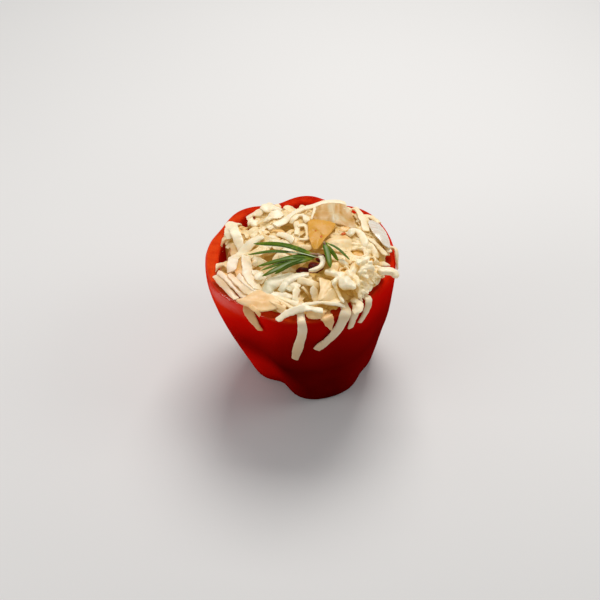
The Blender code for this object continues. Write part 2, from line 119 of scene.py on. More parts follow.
def lobing(degrees, height):
    double = 2.0 * math.radians(degrees)
    share = 1.0 + cup["ovalX"] * math.cos(double) + cup["ovalSkew"] * math.sin(double)
    for angle, width, atRim, atTable in cup["furrows"]:
        depth = atTable + (atRim - atTable) * height / cup["rim"]
        share -= depth * math.exp(-(turnBetween(degrees, angle) / width) ** 2)
    return share


def outerRadius(degrees, height):
    return sideRadius(height) * lobing(degrees, height)


def innerRadius(degrees, height):
    return (sideRadius(height) - cup["wall"]) * lobing(degrees, height)


def cupPoint(degrees, height, radius):
    angle = math.radians(degrees)
    middle = height - cup["rim"] / 2.0
    return Vector((
        radius * math.cos(angle) + cup["leanX"] * middle,
        radius * math.sin(angle) + cup["leanY"] * middle,
        height,
    ))


def wallPoint(degrees, height, out=0.0):
    level = min(max(height, 0.0), cup["rim"])
    point = cupPoint(degrees, level, outerRadius(degrees, level) + out)
    point.z = height
    return point


def findAxis():
    # the shape stands about the cup's axis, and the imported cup's box says where that axis is
    low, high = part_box("pepper")
    levels = range(0, int(cup["rim"]) + 1, 3)
    wall = [wallPoint(turn, height) for turn in range(0, 360, 3) for height in levels]
    place = []
    for axis in (0, 1):
        values = [point[axis] * mm for point in wall]
        place.append((low[axis] + high[axis] - min(values) - max(values)) / 2.0)
    return Vector((*place, low.z))


cupAxis = findAxis()
print("cup's axis at", [round(value / mm, 2) for value in cupAxis])


def toFrame(point):
    return Vector(point) * mm + cupAxis


def fromFrame(point):
    return (point - cupAxis) / mm


def calm(form, factor, rounds=1):
    for _ in range(rounds):
        bmesh.ops.smooth_vert(
            form, verts=form.verts, factor=factor, use_axis_x=True, use_axis_y=True, use_axis_z=True,
        )


def newPiece(name, form, finish, nodes=(), sharp=48.0):
    mesh = bpy.data.meshes.new(name)
    form.to_mesh(mesh)
    form.free()
    mesh.materials.append(finish)
    mesh.shade_smooth()
    mesh.set_sharp_from_angle(angle=math.radians(sharp))
    piece = bpy.data.objects.new(name, mesh)
    home.objects.link(piece)
    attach(piece, "root")
    if nodes:
        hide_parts(*nodes)
    return piece


def turnedForm(ringCount, spokes, place, shades=()):
    # a line of points is spun round the upright axis, then point k at each angle goes to place(k, angle)
    form = bmesh.new()
    verts = [form.verts.new((1.0, 0.0, ring)) for ring in range(ringCount)]
    edges = [form.edges.new(pair) for pair in zip(verts, verts[1:])]
    bmesh.ops.spin(
        form, geom=verts + edges, axis=upward, cent=(0, 0, 0), steps=spokes, angle=math.tau, use_merge=True,
    )
    layers = [form.verts.layers.float.new(shade) for shade in shades]
    for vert in form.verts:
        degrees = math.degrees(math.atan2(vert.co.y, vert.co.x)) % 360.0
        found = place(round(vert.co.z), degrees)
        vert.co = toFrame(found[0])
        for layer, value in zip(layers, found[1:]):
            vert[layer] = value
    bmesh.ops.remove_doubles(form, verts=form.verts, dist=0.005 * mm)
    bmesh.ops.recalc_face_normals(form, faces=form.faces)
    return form


# small helpers for the finishes' nodes
def addNode(tree, kind, inputs=None, **settings):
    node = tree.nodes.new(kind)
    for name, value in settings.items():
        setattr(node, name, value)
    for socket, value in (inputs or {}).items():
        if isinstance(value, bpy.types.NodeSocket):
            tree.links.new(value, node.inputs[socket])
        else:
            node.inputs[socket].default_value = value
    return node


def addMath(tree, operation, first, second=0.5, clamp=False):
    node = addNode(tree, "ShaderNodeMath", {0: first, 1: second}, operation=operation, use_clamp=clamp)
    return node.outputs[0]


def addRange(tree, value, low, high, start=0.0, end=1.0):
    node = addNode(tree, "ShaderNodeMapRange", {
        "Value": value, "From Min": low, "From Max": high, "To Min": start, "To Max": end,
    })
    return node.outputs["Result"]


def plus(tree, first, second, clamp=False):
    return addMath(tree, "ADD", first, second, clamp)


def times(tree, first, second, clamp=False):
    return addMath(tree, "MULTIPLY", first, second, clamp)


def addUp(tree, sources, rows):
    # the sum of ranges, held to 0 and 1 at the end; a row is what is read and its range
    total = 0.0
    for number, (source, *reach) in enumerate(rows, 1):
        total = plus(tree, total, addRange(tree, sources[source], *reach), number == len(rows))
    return total


def addMix(tree, share, first, second, blend="MIX"):
    inputs = {0: share, 6: first, 7: second}
    return addNode(tree, "ShaderNodeMix", inputs, data_type="RGBA", blend_type=blend).outputs[2]


def addTint(tree, share, shade, tint):
    return addMix(tree, share, shade, tint, "MULTIPLY")


def addBlend(tree, share, first, second):
    # between two values, where addMix is between two colours
    return addNode(tree, "ShaderNodeMix", {0: share, 2: first, 3: second}, data_type="FLOAT").outputs[0]


def addNoise(tree, place, scale, detail=2.0, roughness=0.5):
    node = addNode(tree, "ShaderNodeTexNoise", {
        "Vector": place, "Scale": scale, "Detail": detail, "Roughness": roughness,
    })
    return node.outputs["Fac"]


def addRamp(tree, value, stops):
    node = addNode(tree, "ShaderNodeValToRGB", {"Fac": value})
    ramp = node.color_ramp
    while len(ramp.elements) < len(stops):
        ramp.elements.new(0.5)
    for element, (place, shade) in zip(ramp.elements, stops):
        element.position = place
        element.color = (*shade, 1.0)
    return node.outputs["Color"]


def addShade(tree, name):
    return addNode(tree, "ShaderNodeAttribute", attribute_name=name).outputs["Fac"]


def ownPlace(tree):
    return addNode(tree, "ShaderNodeTexCoord").outputs["Object"]


def splitPlace(tree, place):
    return addNode(tree, "ShaderNodeSeparateXYZ", {0: place}).outputs


def addDistance(tree, place, spot):
    return addNode(tree, "ShaderNodeVectorMath", {0: place, 1: spot}, operation="DISTANCE").outputs["Value"]


def feed(tree, shader, sources):
    for socket, source in sources.items():
        tree.links.new(source, shader.inputs[socket])


def addBump(tree, shader, height, depth, strength=1.0):
    node = addNode(tree, "ShaderNodeBump", {"Height": height, "Distance": depth, "Strength": strength})
    feed(tree, shader, {"Normal": node.outputs["Normal"]})


def newFinish(name, numbers, softness=()):
    # softness is how much light goes under the surface, how far for red, green and blue, and its scale
    finish = bpy.data.materials.new(name)
    finish.use_nodes = True
    tree = finish.node_tree
    shader = tree.nodes["Principled BSDF"]
    soft = zip(("Subsurface Weight", "Subsurface Radius", "Subsurface Scale"), softness)
    for socket, value in (*numbers.items(), *soft):
        shader.inputs[socket].default_value = value
    return finish, tree, shader


def newGroup(name, inputs, outputs):
    group = bpy.data.node_groups.new(name, "ShaderNodeTree")
    for socket, kind in inputs:
        group.interface.new_socket(socket, in_out="INPUT", socket_type="NodeSocket" + kind)
    for socket, kind in outputs:
        group.interface.new_socket(socket, in_out="OUTPUT", socket_type="NodeSocket" + kind)
    return group, addNode(group, "NodeGroupInput").outputs, addNode(group, "NodeGroupOutput").inputs


# cheese colours run from grey-green through white, which is tone 0, cream and peach to deep yellow
cheese = {
    "shades": (
        (0.0, (0.50, 0.455, 0.27)),
        (0.16, (0.89, 0.79, 0.585)),
        (0.40, (0.87, 0.69, 0.40)),
        (0.66, (0.80, 0.49, 0.20)),
        (1.0, (0.62, 0.29, 0.030)),
    ),
    "palest": -0.19,                           # the tone of the first shade
    "paintedShadeColour": (0.57, 0.33, 0.035, 1.0),   # painted shade deep between the shreds, golden brown
    # painted shade: how much of its colour a deeply tucked point takes, and how fast it grows
    "paintedShadeShare": 0.9,
    "paintedShadeCurve": 0.95,
    "blush": (1.0, 0.90, 0.96, 1.0),           # tint at the left front
    "blushX": (-0.017, -0.029),                # where it starts and is full
    "blushY": (-0.002, -0.014),
    "dapple": 170.0,                           # noise scales, in turns a metre
    "grain": 900.0,
    "dappleShare": 0.16,
    "speck": (0.95, 0.90, 0.78, 1.0),
    "speckReach": (0.55, 0.75, 0.0, 0.16),     # grain from, to, and the speck's share at each
    "roughness": (0.34, 0.56),
    "relief": (0.6, 0.4),                      # shares of dapple and grain
    "paintedGlow": 0.10,                              # painted glow: emission that lifts the cheese's shade
    "paintedGlowShade": (1.0, 0.64, 0.13, 1.0),
    "paintedGlowShare": (0.35, 0.85),                 # share of the painted glow's colour, on top and deep down
}


def makeCheeseLook():
    group, given, result = newGroup(
        "cheeseLook",
        (("Place", "Vector"), ("Tone", "Float"), ("PaintedShade", "Float")),
        (("Colour", "Color"), ("Height", "Float"), ("Gloss", "Float"), ("PaintedGlow", "Color")),
    )
    dapple = addNoise(group, given["Place"], cheese["dapple"], 3.0)
    grain = addNoise(group, given["Place"], cheese["grain"], 4.0, 0.6)
    half = cheese["dappleShare"] / 2.0
    shift = addRange(group, dapple, 0.3, 0.7, -half, half)
    tone = plus(group, addRange(group, given["Tone"], cheese["palest"], 1.0), shift, clamp=True)
    plain = addRamp(group, tone, cheese["shades"])
    # painted shade: the deeper a point is tucked, the more its colour goes towards the shade colour
    deep = addMath(group, "POWER", given["PaintedShade"], cheese["paintedShadeCurve"], clamp=True)
    shaded = addMix(group, times(group, deep, cheese["paintedShadeShare"]), plain, cheese["paintedShadeColour"])
    x, y, _ = splitPlace(group, given["Place"])
    blush = times(group, addRange(group, x, *cheese["blushX"]), addRange(group, y, *cheese["blushY"]))
    shaded = addTint(group, blush, shaded, cheese["blush"])
    finished = addMix(group, addRange(group, grain, *cheese["speckReach"]), shaded, cheese["speck"])
    # painted glow, golden and stronger deep down
    paintedGlowShare = addRange(group, deep, 0.0, 1.0, *cheese["paintedGlowShare"])
    slow, fine = [times(group, *pair) for pair in zip((dapple, grain), cheese["relief"])]
    found = {
        "Colour": finished,
        "PaintedGlow": addMix(group, paintedGlowShare, finished, cheese["paintedGlowShade"]),
        "Height": plus(group, slow, fine),
        "Gloss": addRange(group, grain, 0.3, 0.7, *cheese["roughness"]),
    }
    for socket, source in found.items():
        group.links.new(source, result[socket])
    return group


cheeseLook = makeCheeseLook()


def makeCheeseFinish(name, depth=0.12, scatter=0.001, coat=0.1, paintedGlow=cheese["paintedGlow"], gloss=0.5, tintAndLowShade=None):
    # the last argument is a tint on the heap and another low on the wall; where the lower one is darker and
    # redder it is painted shade with a red cast
    # the emission is a painted glow
    finish, tree, shader = newFinish(name, {
        "Emission Strength": paintedGlow,
        "Coat Weight": coat,
        "Coat Roughness": 0.25,
        "Specular IOR Level": gloss,
    }, (0.18, (1.0, 0.62, 0.32), scatter))
    place = ownPlace(tree)
    given = {"Place": place, "Tone": addShade(tree, "tone"), "PaintedShade": addShade(tree, "paintedShade")}
    look = addNode(tree, "ShaderNodeGroup", node_tree=cheeseLook)
    feed(tree, look, given)
    shade = look.outputs["Colour"]
    # painted shade low on the wall: towards the bottom the tint darkens and reddens the cheese
    if tintAndLowShade:
        low = addRange(tree, splitPlace(tree, place)[2], 0.064, 0.048)
        shade = addTint(tree, 1.0, shade, addMix(tree, low, *[(*tint, 1.0) for tint in tintAndLowShade]))
    feed(tree, shader, {
        "Base Color": shade, "Roughness": look.outputs["Gloss"], "Emission Color": look.outputs["PaintedGlow"],
    })
    addBump(tree, shader, look.outputs["Height"], depth * mm)
    return finish


skin = {
    # place on the scale of painted light and shade, from darkest low in front to brightest, and colour
    "shades": (
        (0.0, (0.075, 0.0004, 0.0003)),
        (0.42, (0.28, 0.0015, 0.0007)),
        (0.75, (0.64, 0.004, 0.0012)),
        (1.0, (0.86, 0.026, 0.004)),
    ),
    "cutShades": ((0.0, (0.46, 0.008, 0.002)), (0.75, (0.58, 0.023, 0.004))),
    # painted light: the cut turns this brighter orange towards the left
    "cutLitColour": (0.78, 0.070, 0.010, 1.0),
    "insideWall": (0.82, 0.006, 0.002, 1.0),
    "insideShare": 0.8,
    "paintedLitPatch": (-0.0190, -0.0170, 0.0110),   # middle of the painted light patch low on the left lobe
    "highlightPatch": (-0.0330, -0.0242, 0.0640),  # and of the painted highlight under the rim, where the skin gets its coat
    # ranges: from and to, in metres for a place, and what they give at each
    # painted light and shade: darker low down and in front, lighter towards the rim, at the left and right
    # sides and in the patch, with a little random cloud
    "paintedShading": (
        ("z", 0.030, 0.066, 0.0, 0.50),
        ("z", 0.050, 0.065, 0.0, 0.13),
        ("x", -0.008, -0.034, 0.0, 0.48),
        ("x", 0.014, 0.040, 0.04, 0.30),
        ("patch", 0.006, 0.024, 0.46, 0.0),
        ("cloud", 0.3, 0.7, -0.06, 0.05),
    ),
    "litCutX": (-0.022, -0.036, 0.0, 0.8),
    "litCutY": (-0.018, -0.036, 0.0, 0.85),
    "litCutMoist": (0.3, 0.6, 0.5, 1.0),
    "waxyRoughness": (0.3, 0.7, 0.16, 0.27),
    "cutRoughness": 0.36,
    # painted highlight: coat only in a patch under the rim and along the cut's outer edge at the left
    "highlightCoat": (0.003, 0.013, 0.9, 0.0),
    "highlightHeight": (0.0575, 0.0635),
    "highlightEdgeOuter": (0.05, 0.4),
    "highlightEdgeInner": (0.6, 0.98, 1.0, 0.0),
    "edgeX": (-0.004, -0.018, 0.0, 0.7),
    "backWax": (0.006, 0.030, 0.002, 0.10),
    # noise scales, in turns a metre
    "cloud": 38.0,
    "moist": 260.0,
    "cells": 1100.0,
    "fine": 120.0,
}


def makeSkinFinish():
    # skin outside, wet flesh where it is cut and inside; "flesh" is 0 on the skin and 1 on the cut
    finish, tree, shader = newFinish("pepperSkin", {
        "Coat Roughness": 0.08,
        "Coat IOR": 1.5,
        "Specular IOR Level": 0.0,
        "Specular Tint": (1.0, 0.12, 0.08, 1.0),
    }, (0.12, (1.0, 0.15, 0.05), 0.004))
    place = ownPlace(tree)
    x, y, z = splitPlace(tree, place)
    flesh = addShade(tree, "flesh")
    cloud = addNoise(tree, place, skin["cloud"], 3.0)
    patch = addDistance(tree, place, skin["paintedLitPatch"])
    # painted light and shade on the skin's colour
    litShare = addUp(tree, {"x": x, "z": z, "patch": patch, "cloud": cloud}, skin["paintedShading"])
    moist = addNoise(tree, place, skin["moist"], 4.0, 0.6)
    cut = addRamp(tree, addRange(tree, moist, 0.3, 0.7), skin["cutShades"])
    # painted light on the cut towards the left, broken up by the moist noise
    litCut = plus(tree, addRange(tree, x, *skin["litCutX"]), addRange(tree, y, *skin["litCutY"]))
    litCut = times(tree, litCut, addRange(tree, moist, *skin["litCutMoist"]), clamp=True)
    cut = addMix(tree, litCut, cut, skin["cutLitColour"])
    inside = times(tree, addShade(tree, "inside"), skin["insideShare"])
    cut = addMix(tree, inside, cut, skin["insideWall"])
    # painted highlight: coat only in the patch and along the left rim's edge
    highlightCoat = addRange(tree, addDistance(tree, place, skin["highlightPatch"]), *skin["highlightCoat"])
    highlightCoat = times(tree, highlightCoat, addRange(tree, z, *skin["highlightHeight"]))
    edge = times(tree, addRange(tree, flesh, *skin["highlightEdgeOuter"]), addRange(tree, flesh, *skin["highlightEdgeInner"]))
    edge = times(tree, edge, addRange(tree, x, *skin["edgeX"]))
    wax = times(tree, addRange(tree, y, *skin["backWax"]), addRange(tree, flesh, 0.0, 0.5, 1.0, 0.0))
    waxy = addRange(tree, cloud, *skin["waxyRoughness"])
    feed(tree, shader, {
        "Base Color": addMix(tree, flesh, addRamp(tree, litShare, skin["shades"]), cut),
        "Roughness": addBlend(tree, flesh, waxy, skin["cutRoughness"]),
        "Coat Weight": plus(tree, addMath(tree, "MAXIMUM", highlightCoat, edge), wax),
    })
    cells = addNode(tree, "ShaderNodeTexVoronoi", {"Vector": place, "Scale": skin["cells"]})
    skinRelief = times(tree, addNoise(tree, place, skin["fine"], 2.0), 0.25)
    cutRelief = plus(tree, times(tree, cells.outputs["Distance"], 0.6), moist)
    addBump(tree, shader, addBlend(tree, flesh, skinRelief, cutRelief), 0.25 * mm, 0.8)
    return finish


def furrowShare(degrees):
    return max(math.exp(-(turnBetween(degrees, row[0]) / row[1]) ** 2) for row in cup["furrows"])


def cupRings():
    # from the middle of the underside up the skin, over the cut and down to the floor's middle
    heelTop, top, insideTop = cup["heelHeight"], cup["wallTop"], cup["insideTop"]
    under = [("under", share) for share in (0.0, 0.1, 0.2, 0.3, 0.4, 0.5, 0.6, 0.7, 0.8, 0.88, 0.94)]
    heel = [("outer", height) for height in (0.0, 0.5, 1.2, 2.2, 3.6, 5.4, 7.6, 10.2, 13.4, heelTop)]
    wall = [("outer", heelTop + (top - heelTop) * step / 24) for step in range(1, 25)]
    edge = [("skinEdge", step / 5) for step in range(1, 6)]
    cut = [("cut", share) for share in (0.12, 0.25, 0.4, 0.55, 0.7, 0.85)]
    inner = [("fleshEdge", step / 5) for step in range(6)]
    inside = [("inner", insideTop - (insideTop - heelTop) * step / 14) for step in range(1, 15)]
    floor = [("floor", share) for share in (0.85, 0.6, 0.35, 0.0)]
    return under + heel + wall + edge + cut + inner + inside + floor


def rimWobble(degrees):
    wobble = 0.0
    for rise, count, phase in cup["rimWaves"]:
        wobble += rise * math.sin(math.radians(count * degrees + phase))
    return wobble


def cupPlace(rings):
    def place(number, degrees):
        kind, value = rings[number]
        rim = cup["rim"] - cup["rimDrop"] + rimWobble(degrees)
        if kind == "under":
            point = cupPoint(degrees, 0.0, outerRadius(degrees, 0.0) * value)
            dimple = 0.5 + 0.5 * math.cos(math.pi * min(value / cup["dimpleShare"], 1.0))
            lift = cup["footLift"] * smooth(0.1, 1.0, furrowShare(degrees)) * math.sin(math.pi * value)
            point.z = cup["dimple"] * dimple + lift * (1.0 - dimple)
            return point, 0.0, 0.0
        if kind == "outer":
            point = wallPoint(degrees, value)
            slow = noise.noise(point / 13.0) + 0.35 * noise.noise(point / 5.0)
            swell = cup["swell"] * slow * smooth(0.0, 12.0, value)
            return wallPoint(degrees, value, swell - cup["inset"]), 0.0, 0.0
        outer = outerRadius(degrees, cup["rim"]) - cup["inset"]
        inner = innerRadius(degrees, cup["rim"])
        turn = math.pi / 2.0 * value
        if kind == "skinEdge":
            radius = outer - cup["skinEdge"] * (1.0 - math.cos(turn))
            return cupPoint(degrees, rim - cup["skinEdge"] * (1.0 - math.sin(turn)), radius), value, 0.0
        if kind == "cut":
            start = outer - cup["skinEdge"]
            radius = start + (inner + cup["fleshEdge"] - start) * value
            point = cupPoint(degrees, rim, radius)
            relief = cup["cutRelief"] * noise.noise(point / 2.0)
            point.z -= cup["cutDish"] * math.sin(math.pi * value) + relief
            return point, 1.0, 0.0
        if kind == "fleshEdge":
            radius = inner + cup["fleshEdge"] * (1.0 - math.sin(turn))
            height = rim - cup["fleshEdge"] * (1.0 - math.cos(turn))
            return cupPoint(degrees, height, radius), 1.0, value * 0.4
        if kind == "inner":
            radius = innerRadius(degrees, value)
            swell = cup["insideSwell"] * noise.noise(cupPoint(degrees, value, radius) / 6.0)
            return cupPoint(degrees, value, radius + swell), 1.0, 1.0
        radius = innerRadius(degrees, cup["heelHeight"]) * value
        return cupPoint(degrees, cup["floorTop"] + cup["floorBowl"] * value ** 2, radius), 1.0, 1.0
    return place


def makeCup():
    rings = cupRings()
    form = turnedForm(len(rings), cup["spokes"], cupPlace(rings), ("flesh", "inside"))
    newPiece("pepperCup", form, makeSkinFinish(), ("pepper",))


makeCup()
print("cup made")


# the heap's core, and the pile that everything else is laid on
heap = {
    # angle, and how far the heap's edge reaches across the cut wall: 0 at its inner side, 1 at its
    # outer side, below 0 it stops short of the wall and sinks
    "reach": (
        (0, 0.70), (25, 0.20), (48, 0.05), (66, 0.20), (78, -0.40), (92, -0.60), (112, 0.50), (138, -0.60),
        (158, 0.35), (182, -1.15), (208, 0.55), (240, 0.40), (268, 0.25), (300, 0.60), (335, 0.85),
    ),
    "edge": 1.5,
    "retreat": 7.0,          # how far the edge draws back for each unit of reach below 0
    "sink": 7.0,             # and how far it sinks
    "dome": 6.5,
    "domeReach": 40.0,
    "peak": (9.0, -5.0),
    "underShreds": 3.6,      # the core lies this far below the finished heap
    "spokes": 180,
    "rings": 46,
    "gap": 0.4,
    "trench": 20.0,          # how far down the core leaves the wall where the heap stops short
    "crumble": ((0.5, 2.2), (0.35, 0.9)),                              # height and size
    "tones": {"top": 0.35, "throat": 1.0, "side": 1.0, "floor": 0.5},  # of the core; the throat and sides take the deepest tone, painted shade down the gaps
    # hollows between the pieces: x, y, radius, depth
    "pits": (
        (3.2, -14.6, 4.0, 6.5), (-1.4, -16.6, 3.2, 6.0), (6.0, -8.5, 2.6, 5.0), (21.0, -8.3, 2.4, 4.0),
        (26.5, -13.1, 2.0, 3.0), (-8.0, 8.5, 3.0, 3.0), (1.5, 2.0, 1.8, 2.5), (-25.0, 14.0, 2.6, 3.5),
        (33.5, -13.4, 3.0, 6.0), (14.0, -33.5, 2.0, 3.0), (-28.0, -26.0, 1.8, 2.5), (-17.0, -9.0, 2.6, 2.0),
    ),
}
pile = {"half": 48.0, "pitch": 0.4, "cavity": 57.0, "table": 30.0, "give": 0.5}


def reachAt(degrees):
    rows = (*heap["reach"], (360, heap["reach"][0][1]))
    for (low, first), (high, second) in zip(rows, rows[1:]):
        if low <= degrees % 360.0 <= high:
            return first + (second - first) * smooth(low, high, degrees % 360.0)


def heapEdge(degrees):
    # radius and height of the heap's edge
    reach = reachAt(degrees)
    inner = innerRadius(degrees, cup["rim"])
    if reach > 0.0:
        outer = outerRadius(degrees, cup["rim"])
        return inner + (outer - inner) * reach, cup["rim"] + heap["edge"]
    return inner - heap["gap"] + reach * heap["retreat"], cup["rim"] + heap["edge"] + reach * heap["sink"]


turns = np.arange(0.0, 361.0)
edgeRadii, edgeHeights = np.array([heapEdge(turn) for turn in turns]).T
innerRadii = np.array([innerRadius(turn, cup["rim"]) for turn in turns])
outerRadii = np.array([outerRadius(turn, cup["rim"]) for turn in turns])
rimShift = (cup["leanX"] * cup["rim"] / 2.0, cup["leanY"] * cup["rim"] / 2.0)


def polar(x, y):
    away = np.hypot(x - rimShift[0], y - rimShift[1])
    return away, np.degrees(np.arctan2(y - rimShift[1], x - rimShift[0])) % 360.0


def heapShare(x, y):
    # 0 in the heap's middle and 1 at its edge
    away, turn = polar(x, y)
    return away / np.interp(turn, turns, edgeRadii)


def heapHeight(x, y):
    # the finished heap's level, without its pieces
    away, turn = polar(x, y)
    share = np.clip(away / np.interp(turn, turns, edgeRadii), 0.0, 1.0)
    edge = np.interp(turn, turns, edgeHeights)
    shift = np.hypot(x - heap["peak"][0], y - heap["peak"][1]) / heap["domeReach"]
    dome = cup["rim"] + heap["dome"] * np.maximum(1.0 - shift ** 2, 0.0) ** 0.8
    rimShare = share ** 6
    return np.maximum(dome, edge) * (1.0 - rimShare) + edge * rimShare


def coreHeight(x, y):
    height = heapHeight(x, y) - heap["underShreds"]
    for pitX, pitY, radius, depth in heap["pits"]:
        height = height - depth * np.exp(-((x - pitX) ** 2 + (y - pitY) ** 2) / radius ** 2)
    return height


steps = np.arange(-pile["half"], pile["half"] + 0.001, pile["pitch"])
gridX, gridY = np.meshgrid(steps, steps)


def startPile():
    away, turn = polar(gridX, gridY)
    level = np.where(away < np.interp(turn, turns, innerRadii), pile["cavity"], cup["rim"])
    level = np.where(away > np.interp(turn, turns, outerRadii), pile["table"], level)
    core = np.maximum(coreHeight(gridX, gridY), np.where(level > 60.0, level, 0.0))
    return np.where(heapShare(gridX, gridY) < 1.0, core, level)


pileTop = startPile()


def pileCell(x, y):
    column = np.clip(np.round((x + pile["half"]) / pile["pitch"]).astype(int), 0, len(steps) - 1)
    row = np.clip(np.round((y + pile["half"]) / pile["pitch"]).astype(int), 0, len(steps) - 1)
    return row, column


def readPile(x, y):
    return pileTop[pileCell(x, y)]


def readField(field, x, y):
    # a field's value between its cells
    column = np.clip((x + pile["half"]) / pile["pitch"], 0.0, len(steps) - 1.001)
    row = np.clip((y + pile["half"]) / pile["pitch"], 0.0, len(steps) - 1.001)
    left, low = int(column), int(row)
    across, up = column - left, row - low
    near = field[low, left] * (1.0 - across) + field[low, left + 1] * across
    far = field[low + 1, left] * (1.0 - across) + field[low + 1, left + 1] * across
    return float(near * (1.0 - up) + far * up)


def raisePile(x, y, z):
    np.maximum.at(pileTop, pileCell(x, y), z)


def settle(x, y, z, allowed):
    # what stands over the heap's level is pressed down towards it
    over = z - heapHeight(x, y) - allowed
    return z - np.maximum(over, 0.0) * (1.0 - pile["give"])


def pileState():
    # how far the pile's top is from the heap's own level, as a rule and at most
    away = (pileTop - heapHeight(gridX, gridY))[heapShare(gridX, gridY) < 0.9]
    return [round(float(np.percentile(away, part)), 1) for part in (10, 50, 90, 100)]


def spread(field, reach):
    # each cell takes the highest value within reach
    cells = int(round(reach / pile["pitch"]))
    widest = field.copy()
    for down in range(-cells, cells + 1):
        for side in range(-cells, cells + 1):
            if down * down + side * side <= cells * cells:
                widest = np.maximum(widest, np.roll(field, (down, side), (0, 1)))
    return widest


def soften(field, reach, rounds=2):
    cells = int(round(reach / pile["pitch"]))
    for _ in range(rounds):
        for axis in (0, 1):
            field = sum(np.roll(field, shift, axis) for shift in range(-cells, cells + 1)) / (2 * cells + 1)
    return field


def corePlace(rings):
    def place(number, degrees):
        kind, value = rings[number]
        tone = heap["tones"][kind]
        edge = heapEdge(degrees)[0]
        trench = min(reachAt(degrees), 0.0) * heap["trench"]
        if kind == "top":
            point = cupPoint(degrees, cup["rim"], (edge - 1.0) * value)
            crumb = sum(rise * noise.noise(point / size) for rise, size in heap["crumble"])
            point.z = float(coreHeight(point.x, point.y)) + crumb * (1.0 - value ** 8)
            return point, tone
        if kind == "throat":
            inner = innerRadius(degrees, cup["rim"]) - heap["gap"]
            return cupPoint(degrees, cup["rim"] - 0.8 + trench, min(inner, edge + 0.5)), tone
        if kind == "side":
            low = min(value, cup["rim"] - 2.0 + trench)
            return cupPoint(degrees, low, innerRadius(degrees, low) - heap["gap"]), tone
        radius = (innerRadius(degrees, cup["heelHeight"]) - heap["gap"]) * value
        return cupPoint(degrees, cup["floorTop"] + 1.0 + cup["floorBowl"] * value ** 2, radius), tone
    return place


def makeCore():
    rings = [("top", ring / heap["rings"]) for ring in range(heap["rings"] + 1)]
    rings += [("throat", 0.0)] + [("side", height) for height in (52.0, 41.0, 29.0, 17.0)]
    rings += [("floor", share) for share in (0.7, 0.35, 0.0)]
    form = turnedForm(len(rings), heap["spokes"], corePlace(rings), ("tone",))
    newCheese("fillingCore", form, ("filling",), coreFinish)


coreFinish = makeCheeseFinish("crumblyCheese", 0.7, coat=0.0, gloss=0.3)
cheeseFinish = makeCheeseFinish("gratedCheese")
cheesePieces = []


def newCheese(name, form, nodes=(), finish=cheeseFinish, sharp=48.0):
    cheesePieces.append(newPiece(name, form, finish, nodes, sharp))


makeCore()
print("core made")


shred = {
    "squareness": 0.6,      # 1 is a round section, less is squarer
    "slant": 0.7,           # how slantingly the ends are cut
    "waves": ((0.07, 9.0, 1.0), (0.05, 21.0, 2.0)),   # share of the width, turns, phase
    "tornEdge": 0.09,
    "endThin": 0.35,
    "rough": ((0.18, 0.7), (0.045, 2.3)),             # depth, and turns a millimetre
    "steepest": 0.45,       # roll across its width
    "deepest": 2.5,         # how far an end may drop below the rest
}


def shredTemplate(sides, cuts):
    # a bar with a flat side up, cut across along its length
    form = bmesh.new()
    bmesh.ops.create_cone(form, cap_ends=True, segments=sides, radius1=1.0, radius2=1.0, depth=2.0)
    if sides % 4 == 0:
        bmesh.ops.rotate(form, verts=form.verts, matrix=Matrix.Rotation(math.pi / sides, 3, "Z"))
    along = [edge for edge in form.edges if abs(edge.verts[0].co.z - edge.verts[1].co.z) > 1.0]
    bmesh.ops.subdivide_edges(form, edges=along, cuts=cuts)
    mesh = bpy.data.meshes.new("shredTemplate")
    form.to_mesh(mesh)
    form.free()
    return mesh


shortTemplate = shredTemplate(6, 9)
longTemplate = shredTemplate(12, 43)


def smoothLine(points, step=0.4):
    # evenly spaced places on the smooth curve through given points
    fixed = np.array(points, float)
    padded = np.vstack((2.0 * fixed[0] - fixed[1], fixed, 2.0 * fixed[-1] - fixed[-2]))
    share = np.linspace(0.0, 1.0, 24, endpoint=False)[:, None]
    runs = []
    for before, start, end, after in zip(padded, padded[1:], padded[2:], padded[3:]):
        runs.append((
            start * 2.0 + (end - before) * share
            + (before * 2.0 - start * 5.0 + end * 4.0 - after) * share ** 2
            + (start * 3.0 - before - end * 3.0 + after) * share ** 3
        ) / 2.0)
    dense = np.vstack((*runs, fixed[-1:]))
    gone = np.concatenate(((0.0,), np.cumsum(np.linalg.norm(np.diff(dense, axis=0), axis=1))))
    count = max(int(gone[-1] / step), 6)
    marks = np.linspace(0.0, gone[-1], count + 1)
    return np.column_stack([np.interp(marks, gone, dense[:, axis]) for axis in range(dense.shape[1])])


def unit(rows):
    return rows / np.maximum(np.linalg.norm(rows, axis=1, keepdims=True), 1e-9)


def evened(values, rounds):
    values = values.copy()
    for _ in range(rounds):
        values[1:-1] = (values[:-2] + 2.0 * values[1:-1] + values[2:]) / 4.0
    return values


